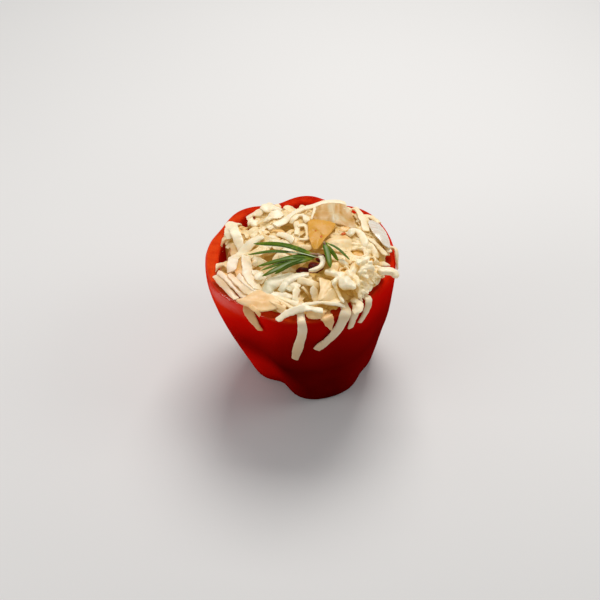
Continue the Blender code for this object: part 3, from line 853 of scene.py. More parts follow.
def layLine(points, width, press=0.25, stiffness=60, allowed=1.8, twist=(0.0, 0.0)):
    # how a shred comes to lie on the pile along points: its underside, its side and its way up
    line = smoothLine(points)
    ahead = unit(np.gradient(line, axis=0))
    side = np.column_stack((-ahead[:, 1], ahead[:, 0]))
    reach = width * 0.4
    left = readPile(*(line + side * reach).T)
    middle = readPile(*line.T)
    right = readPile(*(line - side * reach).T)
    roll = evened(np.clip((left - right) / (2.0 * reach), -shred["steepest"], shred["steepest"]), 12)
    floor = np.maximum(middle, (left + right) / 2.0) - press
    floor = np.maximum(floor, max(np.percentile(floor, 80) - shred["deepest"], cup["rim"] + 0.4))
    height = floor.copy()
    for _ in range(stiffness):
        height[1:-1] = np.maximum(floor[1:-1], (height[:-2] + height[2:]) / 2.0)
    height = evened(settle(*line.T, height, allowed), 8)
    lean = twist[0] * np.sin(np.linspace(0.0, 1.0, len(line)) * 5.0 + twist[1])
    height = height + np.abs(lean) * width * 0.3
    roll = roll + lean
    centre = np.column_stack((line, height))
    forward = unit(np.gradient(centre, axis=0))
    side = np.column_stack((side, roll))
    side = unit(side - forward * (side * forward).sum(1, keepdims=True))
    return {"centre": centre, "side": side, "up": np.cross(forward, side)}


def shellFacing(point):
    # up on the heap, and square to the cup's wall below its rim
    down = 1.0 - smooth(cup["rim"] - 3.0, cup["rim"] + 2.0, point[2])
    axis = cupPoint(0.0, min(point[2], cup["rim"]), 0.0)
    outward = Vector((point[0] - axis.x, point[1] - axis.y, 0.0)).normalized()
    return (outward * down + upward * (1.0 - down)).normalized()


def hangLine(points):
    # a shred along points in space, facing out from the heap and the wall
    centre = smoothLine(points)
    centre = np.column_stack([evened(column, 14) for column in centre.T])
    forward = unit(np.gradient(centre, axis=0))
    facing = np.array([shellFacing(point) for point in centre])
    facing = np.column_stack([evened(column, 110) for column in facing.T])
    side = unit(np.cross(facing, forward))
    return {"centre": centre, "side": side, "up": np.cross(forward, side)}


def pressInto(line, width, thickness):
    # the pile rises to the top of what lies on it
    for offset in np.arange(-width / 2.0, width / 2.0 + 0.01, 0.35):
        crown = thickness * (1.0 - 0.35 * (2.0 * offset / width) ** 2)
        spot = line["centre"] + line["side"] * offset
        raisePile(spot[:, 0], spot[:, 1], spot[:, 2] + crown)


def addShred(form, template, line, width, thickness, tone, chance, taper=0.0, bow=0.0, pinch=0.4):
    # a copy of the template drawn along the line
    first = len(form.verts)
    form.from_mesh(template)
    form.verts.ensure_lookup_table()
    verts = form.verts[first:]
    shape = np.array([vert.co for vert in verts])
    x, y = (np.sign(shape[:, :2]) * np.abs(shape[:, :2]) ** shred["squareness"]).T
    share = (shape[:, 2] + 1.0) / 2.0
    slant = chance.uniform(-shred["slant"], shred["slant"]) * width / max(len(line["centre"]) * 0.4, 1.0)
    share = np.clip(share + slant * x * np.abs(2.0 * share - 1.0) ** 6 * 0.5, 0.0, 1.0)
    place = share * (len(line["centre"]) - 1)
    stations = np.arange(len(line["centre"]))

    def along(rows):
        return np.column_stack([np.interp(place, stations, rows[:, axis]) for axis in range(3)])

    ends = np.abs(2.0 * share - 1.0)
    phase = chance.uniform(0.0, 6.28)
    wave = 1.0
    for swell, count, shift in shred["waves"]:
        wave = wave + swell * np.sin(share * count + phase * shift)
    torn = []
    for spot, hand in zip(place, np.sign(x)):
        slow = noise.noise(Vector((spot * 0.42, phase, 9.0 * hand)))
        torn.append(slow + 0.6 * noise.noise(Vector((spot * 1.3, hand, phase))))
    half = width / 2.0 * (wave + shred["tornEdge"] * np.array(torn))
    half = half * (1.0 - pinch * ends ** 5) * (1.0 - taper * share ** 2)
    deep = thickness / 2.0 * (1.0 - shred["endThin"] * ends ** 6)
    rise = thickness / 2.0 + y * deep + bow * (x ** 2 - 0.4)
    spots = along(line["centre"]) + along(line["side"]) * (x * half)[:, None]
    spots = spots + along(line["up"]) * rise[:, None]
    toneLayer = form.verts.layers.float["tone"]
    (coarse, coarseTurns), (fine, fineTurns) = shred["rough"]
    for vert, spot in zip(verts, spots):
        spot = Vector(spot)
        rough = noise.noise_vector(spot * coarseTurns) * coarse + noise.noise_vector(spot * fineTurns) * fine
        vert.co = toFrame(spot + rough * min(width / 3.0, 1.0))
        vert[toneLayer] = tone


def shredForm():
    form = bmesh.new()
    form.verts.layers.float.new("tone")
    return form


# "allowed" is how far a layer may stand over the heap's level before it is pressed down, "overhang"
# how far past the heap's edge it may reach, and "keepOff" how clear of the hollows it keeps
scatter = {
    "under": {
        "count": 130, "length": (7.0, 18.0), "width": (2.8, 4.6), "thick": (1.0, 1.5), "twist": 0.35,
        "tone": (0.16, 0.52), "allowed": -1.7, "overhang": 0.6, "keepOff": 0.95, "ring": False,
        "seed": 3, "slot": "cheese_cream",
    },
    "over": {
        "count": 120, "length": (6.0, 17.0), "width": (2.4, 4.2), "thick": (0.8, 1.3), "twist": 0.45,
        "tone": (-0.04, 0.30), "allowed": -0.3, "overhang": 0.6, "keepOff": 1.25, "ring": False,
        "seed": 11, "slot": "cheese_cream",
    },
    "bits": {
        "count": 110, "length": (2.6, 7.0), "width": (1.6, 3.4), "thick": (0.6, 1.0), "twist": 0.5,
        "tone": (-0.04, 0.36), "allowed": 0.5, "overhang": 0.6, "keepOff": 1.25, "ring": False,
        "seed": 17, "slot": "cheese_cream",
    },
    "edge": {
        "count": 60, "length": (3.5, 9.0), "width": (2.0, 3.6), "thick": (0.8, 1.2), "twist": 0.3,
        "tone": (0.02, 0.34), "allowed": 0.2, "overhang": 1.2, "keepOff": 0.9, "ring": True,
        "seed": 23, "slot": "cheese_white",
    },
}


# where a scattered shred's middle goes, which way it runs, and how it keeps to the heap
stray = {
    "ringShare": (0.84, 1.0),   # for a layer along the edge, in shares of the heap's breadth
    "areaShare": 0.92,          # for the others, squared
    "edgeFrom": 0.8,            # from here out a shred runs along the edge, give or take some degrees
    "offEdge": 32.0,
    "bend": 0.9,
    "gapReach": -0.3,           # where the heap's edge sinks more than this, shreds go further out
    "gapFurther": 1.5,
    "skinClear": 0.3,
}


def warmthAt(x, y):
    # the heap is more peach at the left and in front, and yellower round its middle
    left = 0.20 * (1.0 - smooth(-30.0, -12.0, x))
    front = 0.20 * (1.0 - smooth(-38.0, -26.0, y))
    middle = 0.34 * math.exp(-((x - 3.0) ** 2 + (y - 5.0) ** 2) / 140.0)
    return left + front + middle


def pickRoute(layer, chance):
    # a slightly bent route somewhere on the heap, or near its edge for a ring
    length = chance.uniform(*layer["length"])
    turn = chance.uniform(0.0, 360.0)
    if layer["ring"]:
        share = chance.uniform(*stray["ringShare"])
    else:
        share = math.sqrt(chance.uniform(0.0, stray["areaShare"]))
    away = share * float(np.interp(turn, turns, edgeRadii))
    x = rimShift[0] + away * math.cos(math.radians(turn))
    y = rimShift[1] + away * math.sin(math.radians(turn))
    heading = chance.uniform(0.0, math.tau)
    if share > stray["edgeFrom"] and not layer["ring"]:
        heading = math.radians(turn + 90.0 + chance.gauss(0.0, stray["offEdge"]))
    bend = chance.gauss(0.0, stray["bend"])
    points = []
    for step in range(-2, 3):
        angle = heading + bend * step / 4.0
        points.append((x + length * step / 4.0 * math.cos(angle), y + length * step / 4.0 * math.sin(angle)))
    return points


def fitsHeap(points, overhang, keepOff):
    for x, y in points:
        away, turn = polar(x, y)
        reach = reachAt(float(turn))
        further = stray["gapFurther"] if reach < stray["gapReach"] else 0.0
        if away > float(np.interp(turn, turns, edgeRadii)) + overhang + further:
            return False
        if reach > 0.0 and away > float(np.interp(turn, turns, outerRadii)) - stray["skinClear"]:
            return False
        if any(math.hypot(x - pit[0], y - pit[1]) < pit[2] * keepOff for pit in heap["pits"]):
            return False
    return True


def makeScatter(name):
    layer = scatter[name]
    chance = random.Random(layer["seed"])
    form = shredForm()
    made = 0
    for _ in range(layer["count"] * 12):
        if made == layer["count"]:
            break
        points = pickRoute(layer, chance)
        fine = [tuple(spot) for spot in smoothLine(points, 2.0)]
        if not fitsHeap(fine, chance.uniform(-0.5, layer["overhang"]), layer["keepOff"]):
            continue
        width = chance.uniform(*layer["width"])
        thick = chance.uniform(*layer["thick"])
        twist = (chance.uniform(0.0, layer["twist"]), chance.uniform(0.0, 6.28))
        line = layLine(points, width, allowed=layer["allowed"], twist=twist)
        tone = chance.uniform(*layer["tone"]) + warmthAt(*points[2])
        addShred(form, shortTemplate, line, width, thick, tone, chance, bow=chance.uniform(-0.3, 0.3),
                 pinch=chance.choice((0.15, 0.3, 0.7)))
        pressInto(line, width, thick)
        made += 1
    print(name, "shreds:", made, "pile", pileState())
    newCheese("cheese" + name.title(), form)


makeScatter("under")

# shreds that come off the heap and hang over the rim: (angle, distance in from the wall) on the
# heap, the angle where they cross the rim, (angle, height) on the wall, width, taper
hanging = {
    "shred_front_long": (((266, 15), (268, 12), (270, 6), (271, 1.2)), 271,
                         ((271.0, 62.0), (268, 54), (264.5, 43.5)), 3.5, -0.25, 0.10),
    "shred_front_curved": (((298, 6), (297.8, 1.2)), 296,
                           ((291.5, 62), (285.5, 56.5), (277.0, 50.5)), 4.2, 0.0, 0.10),
    "shred_front_short": (((305.5, 5), (305, 1.2)), 303.3, ((300, 63), (297.6, 58.5)), 3.2, 0.0, 0.12),
    "shred_front_right": (((313, 5), (314, 1.2)), 313, ((309.5, 63), (304, 59.0)), 2.9, 0.0, 0.06),
    "shred_front_left": (((237, 2.6), (238, 1.0)), 239, ((242.5, 63), (247, 58.0)), 4.2, 0.34, 0.58),
    "wedge_front": (((284.5, 5), (285, 1.2)), 285.5, ((286, 64), (286.5, 61.5)), 6.0, 0.85, 0.55),
    "shred_right_edge": (((9, 7), (7, 5), (4, 1.2)), 1, ((356, 65.0), (352.5, 61.5)), 1.9, 0.0, 0.15),
}
# in mm: thickness, and how far the rim's crossing lies over the rim and outside the wall
hang = {"thick": 1.2, "over": 1.2, "outside": 0.9, "onWall": 0.45, "onHeap": 0.3}
# the hanging shreds' tint low on the wall is painted shade with a red cast
hangingFinish = makeCheeseFinish("hangingCheese", paintedGlow=0.02, tintAndLowShade=((1.0, 0.95, 0.91), (0.74, 0.60, 0.50)))


def makeHanging():
    for number, (node, row) in enumerate(hanging.items()):
        onHeap, crest, onWall, width, taper, tone = row
        chance = random.Random(70 + number)
        route = []
        for degrees, inside in onHeap:
            point = wallPoint(degrees, cup["rim"], -inside)
            point.z = max(float(readPile(point.x, point.y)), cup["rim"] + hang["onHeap"])
            route.append(tuple(point))
        route.append(tuple(wallPoint(crest, cup["rim"] + hang["over"], hang["outside"])))
        route += [tuple(wallPoint(degrees, height, hang["onWall"])) for degrees, height in onWall]
        line = hangLine(route)
        form = shredForm()
        addShred(form, longTemplate, line, width, hang["thick"], tone, chance, taper, pinch=0.25)
        calm(form, 0.3)
        inner = {key: rows[:len(rows) // 2] for key, rows in line.items()}
        pressInto(inner, width, hang["thick"])
        name = "hanging" + node.title().replace("_", "")
        newCheese(name, form, (node,), hangingFinish)


# shreds that droop into the open gaps between heap and wall: angle, start inside the heap's edge,
# lowest level, width, tone
drapes = (
    (166, 3.0, 59.0, 3.0, 0.40), (172, 2.4, 57.0, 2.6, 0.52), (177, 3.4, 55.5, 3.2, 0.34),
    (183, 2.6, 57.5, 2.6, 0.56), (189, 3.6, 56.0, 3.0, 0.42), (195, 2.6, 59.0, 2.8, 0.50),
    (132, 3.0, 59.5, 3.0, 0.30), (141, 2.6, 58.5, 2.6, 0.44), (84, 3.0, 60.5, 3.0, 0.30),
    (92, 2.6, 59.5, 2.6, 0.46), (100, 3.0, 60.5, 2.8, 0.34),
)


# "over", "halfWay" and "end" are how far outside the heap's edge a drape is on its way down
drape = {"seed": 61, "thick": 1.1, "pinch": 0.3, "sway": 3.0, "over": -0.4, "halfWay": 0.9, "end": 1.1}


def makeDrapes():
    form = shredForm()
    chance = random.Random(drape["seed"])
    for degrees, inside, low, width, tone in drapes:
        edge, level = heapEdge(degrees)
        outs = (-inside, drape["over"], drape["halfWay"], drape["end"])
        heights = (level + 1.0, level + 0.6, (level + low) / 2.0, low)
        route = []
        for out, height in zip(outs, heights):
            angle = degrees + chance.uniform(-drape["sway"], drape["sway"])
            point = cupPoint(angle, cup["rim"], edge + out)
            route.append((point.x, point.y, height))
        line = hangLine(route)
        addShred(form, longTemplate, line, width, drape["thick"], tone, chance, pinch=drape["pinch"])
    newCheese("cheeseDrapes", form)


for name in ("over", "bits", "edge"):
    makeScatter(name)
makeHanging()
makeDrapes()
print("hanging shreds made")

# single shreds that lie on top, lowest first: route in mm, width, thickness, tone, bow, and the
# part's node that it stands for, if any
lying = {
    "leftSmooth": (((-28.6, -8.5), (-27.6, -15.5), (-26.2, -22.5)), 4.6, 1.3, 0.62, 0.3),
    "rimBackLeft": (((-26.3, 20.6), (-23.3, 22.4), (-19.0, 21.7)), 3.4, 1.6, 0.12, 0.0),
    "rimBackLeftDown": (((-24.6, 21.5), (-24.6, 15.7)), 2.3, 1.4, 0.10, 0.0),
    "backGrey": (((-19.8, 22.6), (-15.6, 24.6), (-11.0, 22.6)), 4.6, 1.7, 0.02, -0.3),
    "backGreyLow": (((-17.8, 13.2), (-14.4, 17.0), (-10.5, 18.4)), 4.2, 1.5, 0.0, 0.3),
    "cornerBroad": (((-31.4, 17.2), (-32.6, 11.0), (-31.6, 5.0)), 5.6, 1.6, 0.04, 0.3, "shred_corner"),
    "cornerStrip": (((-32.6, 10.4), (-30.0, 4.8), (-26.9, -2.2)), 3.6, 1.5, 0.04, 0.2),
    "pinkLeft": (((-31.6, 3.2), (-30.4, -3.1), (-28.6, -10.4)), 3.2, 1.5, 0.44, 0.0),
    "peachFlap": (((-38.2, -12.4), (-34.6, -12.6), (-30.6, -13.2)), 5.6, 1.4, 0.36, 0.3),
    "parallelOuter": (((-38.4, -18.0), (-34.6, -23.4), (-28.6, -31.4)), 2.4, 1.4, 0.22, 0.0,
                      "shred_rim_left"),
    "parallelNext": (((-37.0, -17.0), (-30.9, -24.5), (-23.7, -33.0)), 2.4, 1.5, 0.10, 0.0),
    "parallelInner": (((-32.6, -19.2), (-27.3, -25.7), (-20.6, -33.0)), 2.8, 1.6, 0.16, 0.2),
    "parallelLast": (((-28.4, -19.6), (-25.0, -25.6), (-19.4, -31.6)), 2.3, 1.5, 0.08, 0.0),
    "vertical": (((-26.3, -8.8), (-25.2, -15.7), (-23.7, -22.6), (-19.8, -29.6)), 3.8, 1.7, 0.05, 0.4,
                 "shred_left_inner"),
    "whiteBit": (((-22.4, -18.0), (-20.0, -21.6), (-17.6, -24.8)), 3.6, 1.4, 0.0, 0.3),
    "greenLow": (((-18.0, -29.8), (-12.8, -32.3), (-6.0, -33.8)), 2.8, 1.6, 0.02, 0.0),
    "curlLobe": (((-9.4, -30.6), (-6.3, -28.5), (-3.6, -26.6)), 4.6, 1.5, -0.08, -0.3),
    "curlGreenLeft": (((-16.7, -31.6), (-14.7, -27.0), (-10.4, -23.8), (-5.0, -21.4)), 5.2, 2.0, -0.09, -0.6),
    "curlGreenRight": (((-10.6, -31.2), (-7.9, -26.2), (-3.9, -23.7), (1.2, -23.0)), 3.4, 1.8, -0.05, -0.4),
    "frontArc": (((-3.8, -29.4), (-5.0, -33.2), (-4.6, -37.6)), 2.6, 1.5, 0.14, 0.0),
    "greenAcross": (((-3.8, -26.0), (1.1, -27.0), (6.0, -28.7)), 2.6, 1.5, 0.26, 0.0),
    "thinPale": (((-2.4, -29.1), (-0.2, -30.2), (2.2, -31.3)), 1.3, 1.1, 0.16, 0.0),
    "brightShort": (((1.9, -29.0), (3.5, -32.4), (4.3, -36.9)), 2.7, 1.5, 0.04, 0.0),
    "underCurd": (((-0.6, -36.0), (3.0, -38.4), (8.0, -39.6)), 3.0, 1.4, 0.40, 0.0),
    "leftMid": (((-12.6, 4.6), (-8.7, 1.0), (-5.4, -3.2)), 2.6, 1.5, 0.06, 0.0),
    "loopTopOne": (((-6.6, 11.6), (-4.1, 15.2), (-1.2, 14.6), (0.5, 10.5)), 2.6, 1.6, 0.10, 0.0),
    "loopTopTwo": (((-4.5, 11.2), (-4.0, 5.9), (-4.6, 1.0)), 2.1, 1.5, 0.16, 0.0),
    "loopTopThree": (((-3.8, 6.4), (-1.0, 7.2), (0.6, 3.3), (-0.2, -1.4), (-3.2, -2.0)), 2.2, 1.5, 0.18, 0.0),
    "stripRightOne": (((25.4, 0.6), (29.0, -2.6), (33.5, -7.5)), 2.2, 1.4, 0.14, 0.0),
    "stripRightTwo": (((29.0, 4.2), (33.0, -0.6), (35.4, -5.0)), 2.2, 1.4, 0.10, 0.0),
    "stripRightThree": (((26.8, -15.8), (29.9, -13.0), (34.4, -10.6)), 2.0, 1.4, 0.12, 0.0),
    "stripRightFour": (((24.5, -2.5), (27.7, -5.0), (29.0, -10.5)), 2.2, 1.4, 0.20, 0.0),
    "foldPale": (((7.4, -5.0), (12.0, -7.4), (17.0, -9.8)), 3.6, 1.4, 0.30, 0.4),
    "rightPink": (((24.6, 22.4), (28.5, 21.6), (32.2, 17.4)), 1.9, 1.4, 0.26, 0.0),
    "backRight": (((21.3, 25.4), (23.6, 17.5), (25.6, 5.4)), 3.0, 1.6, 0.14, 0.2, "shred_back_right"),
    "leftArc": (((-18.0, 2.2), (-23.2, 0.6), (-27.4, -3.0), (-29.8, -8.0), (-31.4, -13.8), (-31.0, -17.7)),
                4.0, 1.7, 0.0, 0.2, "shred_left_arc"),
    "ringArc": (((17.7, 0.3), (19.9, 3.7), (22.5, 2.9), (24.4, -1.8), (24.8, -6.6)), 2.8, 1.7, 0.08, 0.0),
    "loopRight": (((18.0, -33.0), (20.9, -34.8), (21.0, -37.6), (18.6, -39.4)), 2.8, 1.6, 0.10, 0.0),
}


lay = {
    "seed": 200,
    "wider": 1.12,         # than their rows say
    "thinner": 0.7,
    "twist": (0.1, 0.35),
    "press": 0.15,
    "stiffness": 90,
    "pinch": 0.22,
}


def makeLying(rows):
    for number, (name, (route, width, thick, tone, bow, *nodes)) in enumerate(rows.items()):
        chance = random.Random(lay["seed"] + 7 * number)
        thick *= lay["thinner"]
        width *= lay["wider"]
        twist = (chance.uniform(*lay["twist"]), chance.uniform(0.0, 6.28))
        line = layLine(route, width, lay["press"], lay["stiffness"], twist=twist)
        form = shredForm()
        addShred(form, longTemplate, line, width, thick, tone, chance, bow=bow, pinch=lay["pinch"])
        pressInto(line, width, thick)
        newCheese("shred" + name[0].upper() + name[1:], form, nodes)


makeLying(lying)
print("lying shreds made, pile", pileState())


# outline in mm, thickness, tone, lift over the pile, curl at the edge, and folds as
# (x, y, x, y, height, width); the tone also has streaks (share, and their size along x and y),
# a painted highlight along a ridge (x, width, share) and a patch of painted shade (x, y, radius, share)
slices = {
    "petalBack": {
        "outline": ((2.2, 18.0), (3.4, 22.6), (6.2, 25.4), (11.0, 26.8), (16.8, 26.4), (19.6, 20.5),
                    (21.1, 12.1), (21.3, 5.6), (18.7, 5.4), (15.3, 7.8), (10.2, 9.1), (5.0, 10.7),
                    (2.0, 12.0)),
        "thick": 0.7, "tone": 0.62, "lift": 0.2, "curl": -0.2, "node": "petal_back", "slot": "cheese_cream",
        "folds": ((11.4, 24.3, 11.6, 11.0, 0.9, 1.2), (17.0, 22.0, 18.0, 9.0, -0.6, 1.4),
                  (6.0, 22.0, 5.6, 13.0, -0.6, 1.5), (14.4, 24.0, 14.8, 10.0, 0.5, 0.9),
                  (8.6, 24.0, 8.6, 12.0, -0.5, 0.9), (3.6, 20.0, 3.4, 13.0, 0.5, 0.8)),
        "streak": (0.55, 1.2, 9.0), "ridge": (11.5, 1.8, -0.26), "dark": (3.0, 14.0, 4.0, 0.45),
    },
    "petalLower": {
        "outline": ((7.9, -1.2), (12.1, 0.6), (16.4, 0.8), (19.3, -2.0), (18.7, -8.6), (14.5, -10.8),
                    (9.9, -9.4), (7.0, -6.2)),
        "thick": 0.6, "tone": 0.34, "lift": 0.0, "curl": -0.5, "slot": "cheese_cream",
        "folds": ((9.0, -2.4, 17.0, -3.4, 0.6, 1.5), (9.4, -6.0, 16.5, -7.6, -0.6, 1.2)),
        "streak": (0.24, 4.0, 1.4), "dark": (15.8, 1.0, 2.6, 0.45),
    },
    "sliceYellow": {
        "outline": ((0.5, 10.5), (5.0, 10.6), (9.3, 9.6), (12.8, 7.6), (10.8, 2.8), (8.2, -1.8), (6.3, -4.9),
                    (4.3, -7.4), (2.2, -7.2), (1.1, -2.8), (0.6, 4.0)),
        "thick": 0.8, "tone": 1.08, "lift": 0.5, "curl": -0.2, "node": "slice_yellow",
        "slot": "cheese_yellow",
        "folds": ((9.5, 7.0, 4.0, 5.0, 0.4, 2.6), (3.7, 2.8, 3.8, 2.8, -0.5, 0.7),
                  (6.2, -0.2, 6.3, -1.0, -0.5, 0.6), (5.0, -3.0, 3.6, -8.0, -0.5, 1.2)),
        "streak": (0.26, 1.6, 1.6),
    },
    "onionSlice": {
        "outline": ((26.4, 11.8), (28.6, 14.0), (31.2, 12.9), (33.7, 8.2), (35.4, 1.4), (35.6, -4.6),
                    (33.0, -3.6), (30.1, 0.2), (27.6, 5.4)),
        "thick": 0.9, "tone": 0.0, "lift": 0.3, "curl": 0.3, "node": "onion_slice", "slot": "onion_white",
        "folds": ((28.5, 12.0, 33.0, 0.0, 0.5, 1.4),),
    },
    "slicePeach": {
        "outline": ((-29.5, -35.1), (-27.0, -33.3), (-24.6, -32.4), (-22.2, -30.6), (-19.8, -29.5),
                    (-16.9, -30.6), (-13.6, -32.9), (-10.3, -35.2), (-9.8, -37.6), (-12.7, -39.4),
                    (-15.4, -40.3), (-17.8, -41.0), (-19.9, -40.8), (-21.9, -39.9), (-24.0, -38.0),
                    (-26.9, -36.5)),
        "thick": 0.9, "tone": 0.41, "lift": 0.3, "curl": -0.5, "node": "slice_peach", "slot": "cheese_peach",
        "folds": ((-28.0, -34.6, -12.0, -37.2, 0.4, 1.6),),
        "streak": (0.16, 6.0, 1.6), "dark": (-19.0, -35.8, 5.4, 0.24),
    },
    "sliceFront": {
        "outline": ((0.2, -39.6), (3.4, -39.2), (7.2, -40.2), (7.0, -42.2), (2.6, -43.2), (-0.6, -42.0)),
        "thick": 1.0, "tone": 0.54, "lift": 0.0, "curl": -0.6, "slot": "cheese_peach",
        "streak": (0.2, 2.0, 1.6),
    },
    "wedgePale": {
        "outline": ((4.7, -25.6), (9.6, -26.7), (10.4, -30.7), (6.3, -37.4), (3.9, -37.3), (5.5, -31.7)),
        "thick": 0.9, "tone": 0.36, "lift": 0.9, "curl": 0.3, "node": "wedge_pale", "slot": "cheese_cream",
        "folds": ((9.8, -28.0, 6.0, -36.0, 0.9, 1.6),),
        "streak": (0.1, 2.0, 2.0),
    },
    "wedgeShaded": {
        "outline": ((10.4, -30.2), (14.7, -37.0), (9.6, -37.6), (5.5, -37.4)),
        "thick": 0.9, "tone": 0.36, "lift": 0.2, "curl": 0.2, "slot": "cheese_cream",
        "streak": (0.1, 2.0, 2.0),
    },
}


def outlineReach(outline, middle):
    # how far the outline is from its middle at every whole degree, along lightly rounded sides
    closed = [*outline, *outline[:2]]
    spots = []
    for (x0, y0), (x1, y1), (x2, y2) in zip(closed, closed[1:], closed[2:]):
        for share in (0.18, 0.5, 0.82):
            spots.append((x0 + (x1 - x0) * share, y0 + (y1 - y0) * share))
        spots.append((x1 + (x0 + x2 - 2.0 * x1) * 0.06, y1 + (y0 + y2 - 2.0 * y1) * 0.06))
    spots = np.array(spots) - middle
    angles = np.degrees(np.arctan2(spots[:, 1], spots[:, 0])) % 360.0
    order = np.argsort(angles)
    return np.interp(np.arange(360.0), angles[order], np.hypot(*spots.T)[order], period=360.0)


def foldHeight(folds, x, y):
    height = 0.0
    for startX, startY, endX, endY, rise, width in folds:
        runX, runY = endX - startX, endY - startY
        share = ((x - startX) * runX + (y - startY) * runY) / (runX ** 2 + runY ** 2 + 1e-6)
        share = min(max(share, 0.0), 1.0)
        away = math.hypot(x - startX - runX * share, y - startY - runY * share)
        height += rise * math.exp(-(away / width) ** 2)
    return height


def outlineCells(outline):
    # the pile's cells that are inside an outline
    inside = np.zeros(gridX.shape, bool)
    for (x0, y0), (x1, y1) in zip(outline, np.roll(outline, -1, 0)):
        between = (y0 > gridY) != (y1 > gridY)
        inside ^= between & (gridX < (x1 - x0) * (gridY - y0) / (y1 - y0 + 1e-9) + x0)
    return inside


def sliceTone(row, x, y, seed):
    tone = row["tone"]
    if "streak" in row:
        share, sizeX, sizeY = row["streak"]
        tone += share * noise.noise(Vector((x / sizeX, y / sizeY, seed)))
    # a painted highlight along a ridge, and painted shade in one patch
    if "ridge" in row:
        ridgeX, width, share = row["ridge"]
        tone += share * math.exp(-((x - ridgeX) / width) ** 2)
    if "dark" in row:
        darkX, darkY, radius, share = row["dark"]
        tone += share * math.exp(-((x - darkX) ** 2 + (y - darkY) ** 2) / radius ** 2)
    return tone


sliceShape = {
    "rings": (0.0, 0.15, 0.3, 0.45, 0.6, 0.74, 0.86, 0.94, 0.985),
    "spokes": 96,
    "bedReach": 1.6,      # a slice lies on the highest of what is this near
    "sag": 1.2,           # how far it may drop below and rise over its bed's middle
    "heave": 1.5,
    "allowed": 2.2,
    "edgeThin": 0.35,
    "relief": (0.25, 2.6),
}


def makeSlice(name, row, seed):
    outline = np.array(row["outline"])
    middle = outline.mean(0)
    reach = outlineReach(row["outline"], middle)
    bed = soften(spread(pileTop, sliceShape["bedReach"]), sliceShape["bedReach"])
    below = bed[outlineCells(outline) & (heapShare(gridX, gridY) < 1.0)]
    level = max(float(np.median(below)) if below.size else 0.0, cup["rim"] + 1.5)
    bed = settle(gridX, gridY, bed, sliceShape["allowed"])
    bed = np.clip(bed, level - sliceShape["sag"], level + sliceShape["heave"])
    shares = sliceShape["rings"]
    rings = [("top", share) for share in shares] + [("side", 1.0)]
    rings += [("under", share) for share in shares[::-1]]
    relief, size = sliceShape["relief"]

    def spot(share, degrees):
        edge = reach[int(round(degrees)) % 360]
        wobble = 1.0 + 0.05 * noise.noise(Vector((degrees / 9.0, seed, 0.0)))
        angle = math.radians(degrees)
        x = middle[0] + edge * share * wobble * math.cos(angle)
        y = middle[1] + edge * share * wobble * math.sin(angle)
        height = readField(bed, x, y) + row["lift"] + row["curl"] * share ** 2
        fold = foldHeight(row.get("folds", ()), x, y)
        height += fold + relief * noise.noise(Vector((x / size, y / size, seed)))
        return x, y, height

    def place(number, degrees):
        kind, share = rings[number]
        x, y, height = spot(share, degrees)
        thin = row["thick"] * (1.0 - sliceShape["edgeThin"] * share ** 3)
        rise = {"top": thin, "side": thin / 2.0, "under": 0.0}[kind]
        return (x, y, height + rise), sliceTone(row, x, y, seed)

    form = turnedForm(len(rings), sliceShape["spokes"], place, ("tone",))
    calm(form, 0.35, 3)
    for share in np.linspace(0.0, 1.0, 24):
        for degrees in range(0, 360, 5):
            x, y, height = spot(share, degrees)
            raisePile(np.array([x]), np.array([y]), height + row["thick"])
    nodes = (row["node"],) if "node" in row else ()
    newCheese(name, form, nodes, sliceFinishes.get(name, cheeseFinish))


onion = {
    "shades": ((0.30, (0.72, 0.58, 0.48)), (0.45, (0.77, 0.69, 0.57)), (0.70, (0.80, 0.75, 0.66))),
    "turn": 60.0,                  # which way the veins run
    "stretch": (0.15, 1.0, 0.6),
    "vein": 700.0,
}


def makeOnionFinish():
    # wet, pale and veined along its length
    finish, tree, shader = newFinish("onionSlice", {
        "Roughness": 0.22,
        "Coat Weight": 0.2,
        "Coat Roughness": 0.1,
    }, (0.2, (1.0, 0.8, 0.8), 0.002))
    turned = addNode(tree, "ShaderNodeMapping", {
        "Vector": ownPlace(tree),
        "Rotation": (0.0, 0.0, math.radians(onion["turn"])),
        "Scale": onion["stretch"],
    }).outputs[0]
    vein = addNoise(tree, turned, onion["vein"], 2.0)
    feed(tree, shader, {"Base Color": addRamp(tree, vein, onion["shades"])})
    addBump(tree, shader, vein, 0.12 * mm)
    return finish


sliceFinishes = {
    "sliceYellow": makeCheeseFinish("yellowSlice", 0.25, 0.003, 0.12, gloss=0.15),
    "petalBack": makeCheeseFinish("petalCheese", 0.2, 0.002, 0.08, paintedGlow=0.04, gloss=0.3,
                                  tintAndLowShade=((0.77, 0.76, 0.77), (0.77, 0.76, 0.77))),
    "onionSlice": makeOnionFinish(),
}
for number, (name, row) in enumerate(slices.items()):
    makeSlice(name, row, 3.7 * number)
print("slices made, pile", pileState())

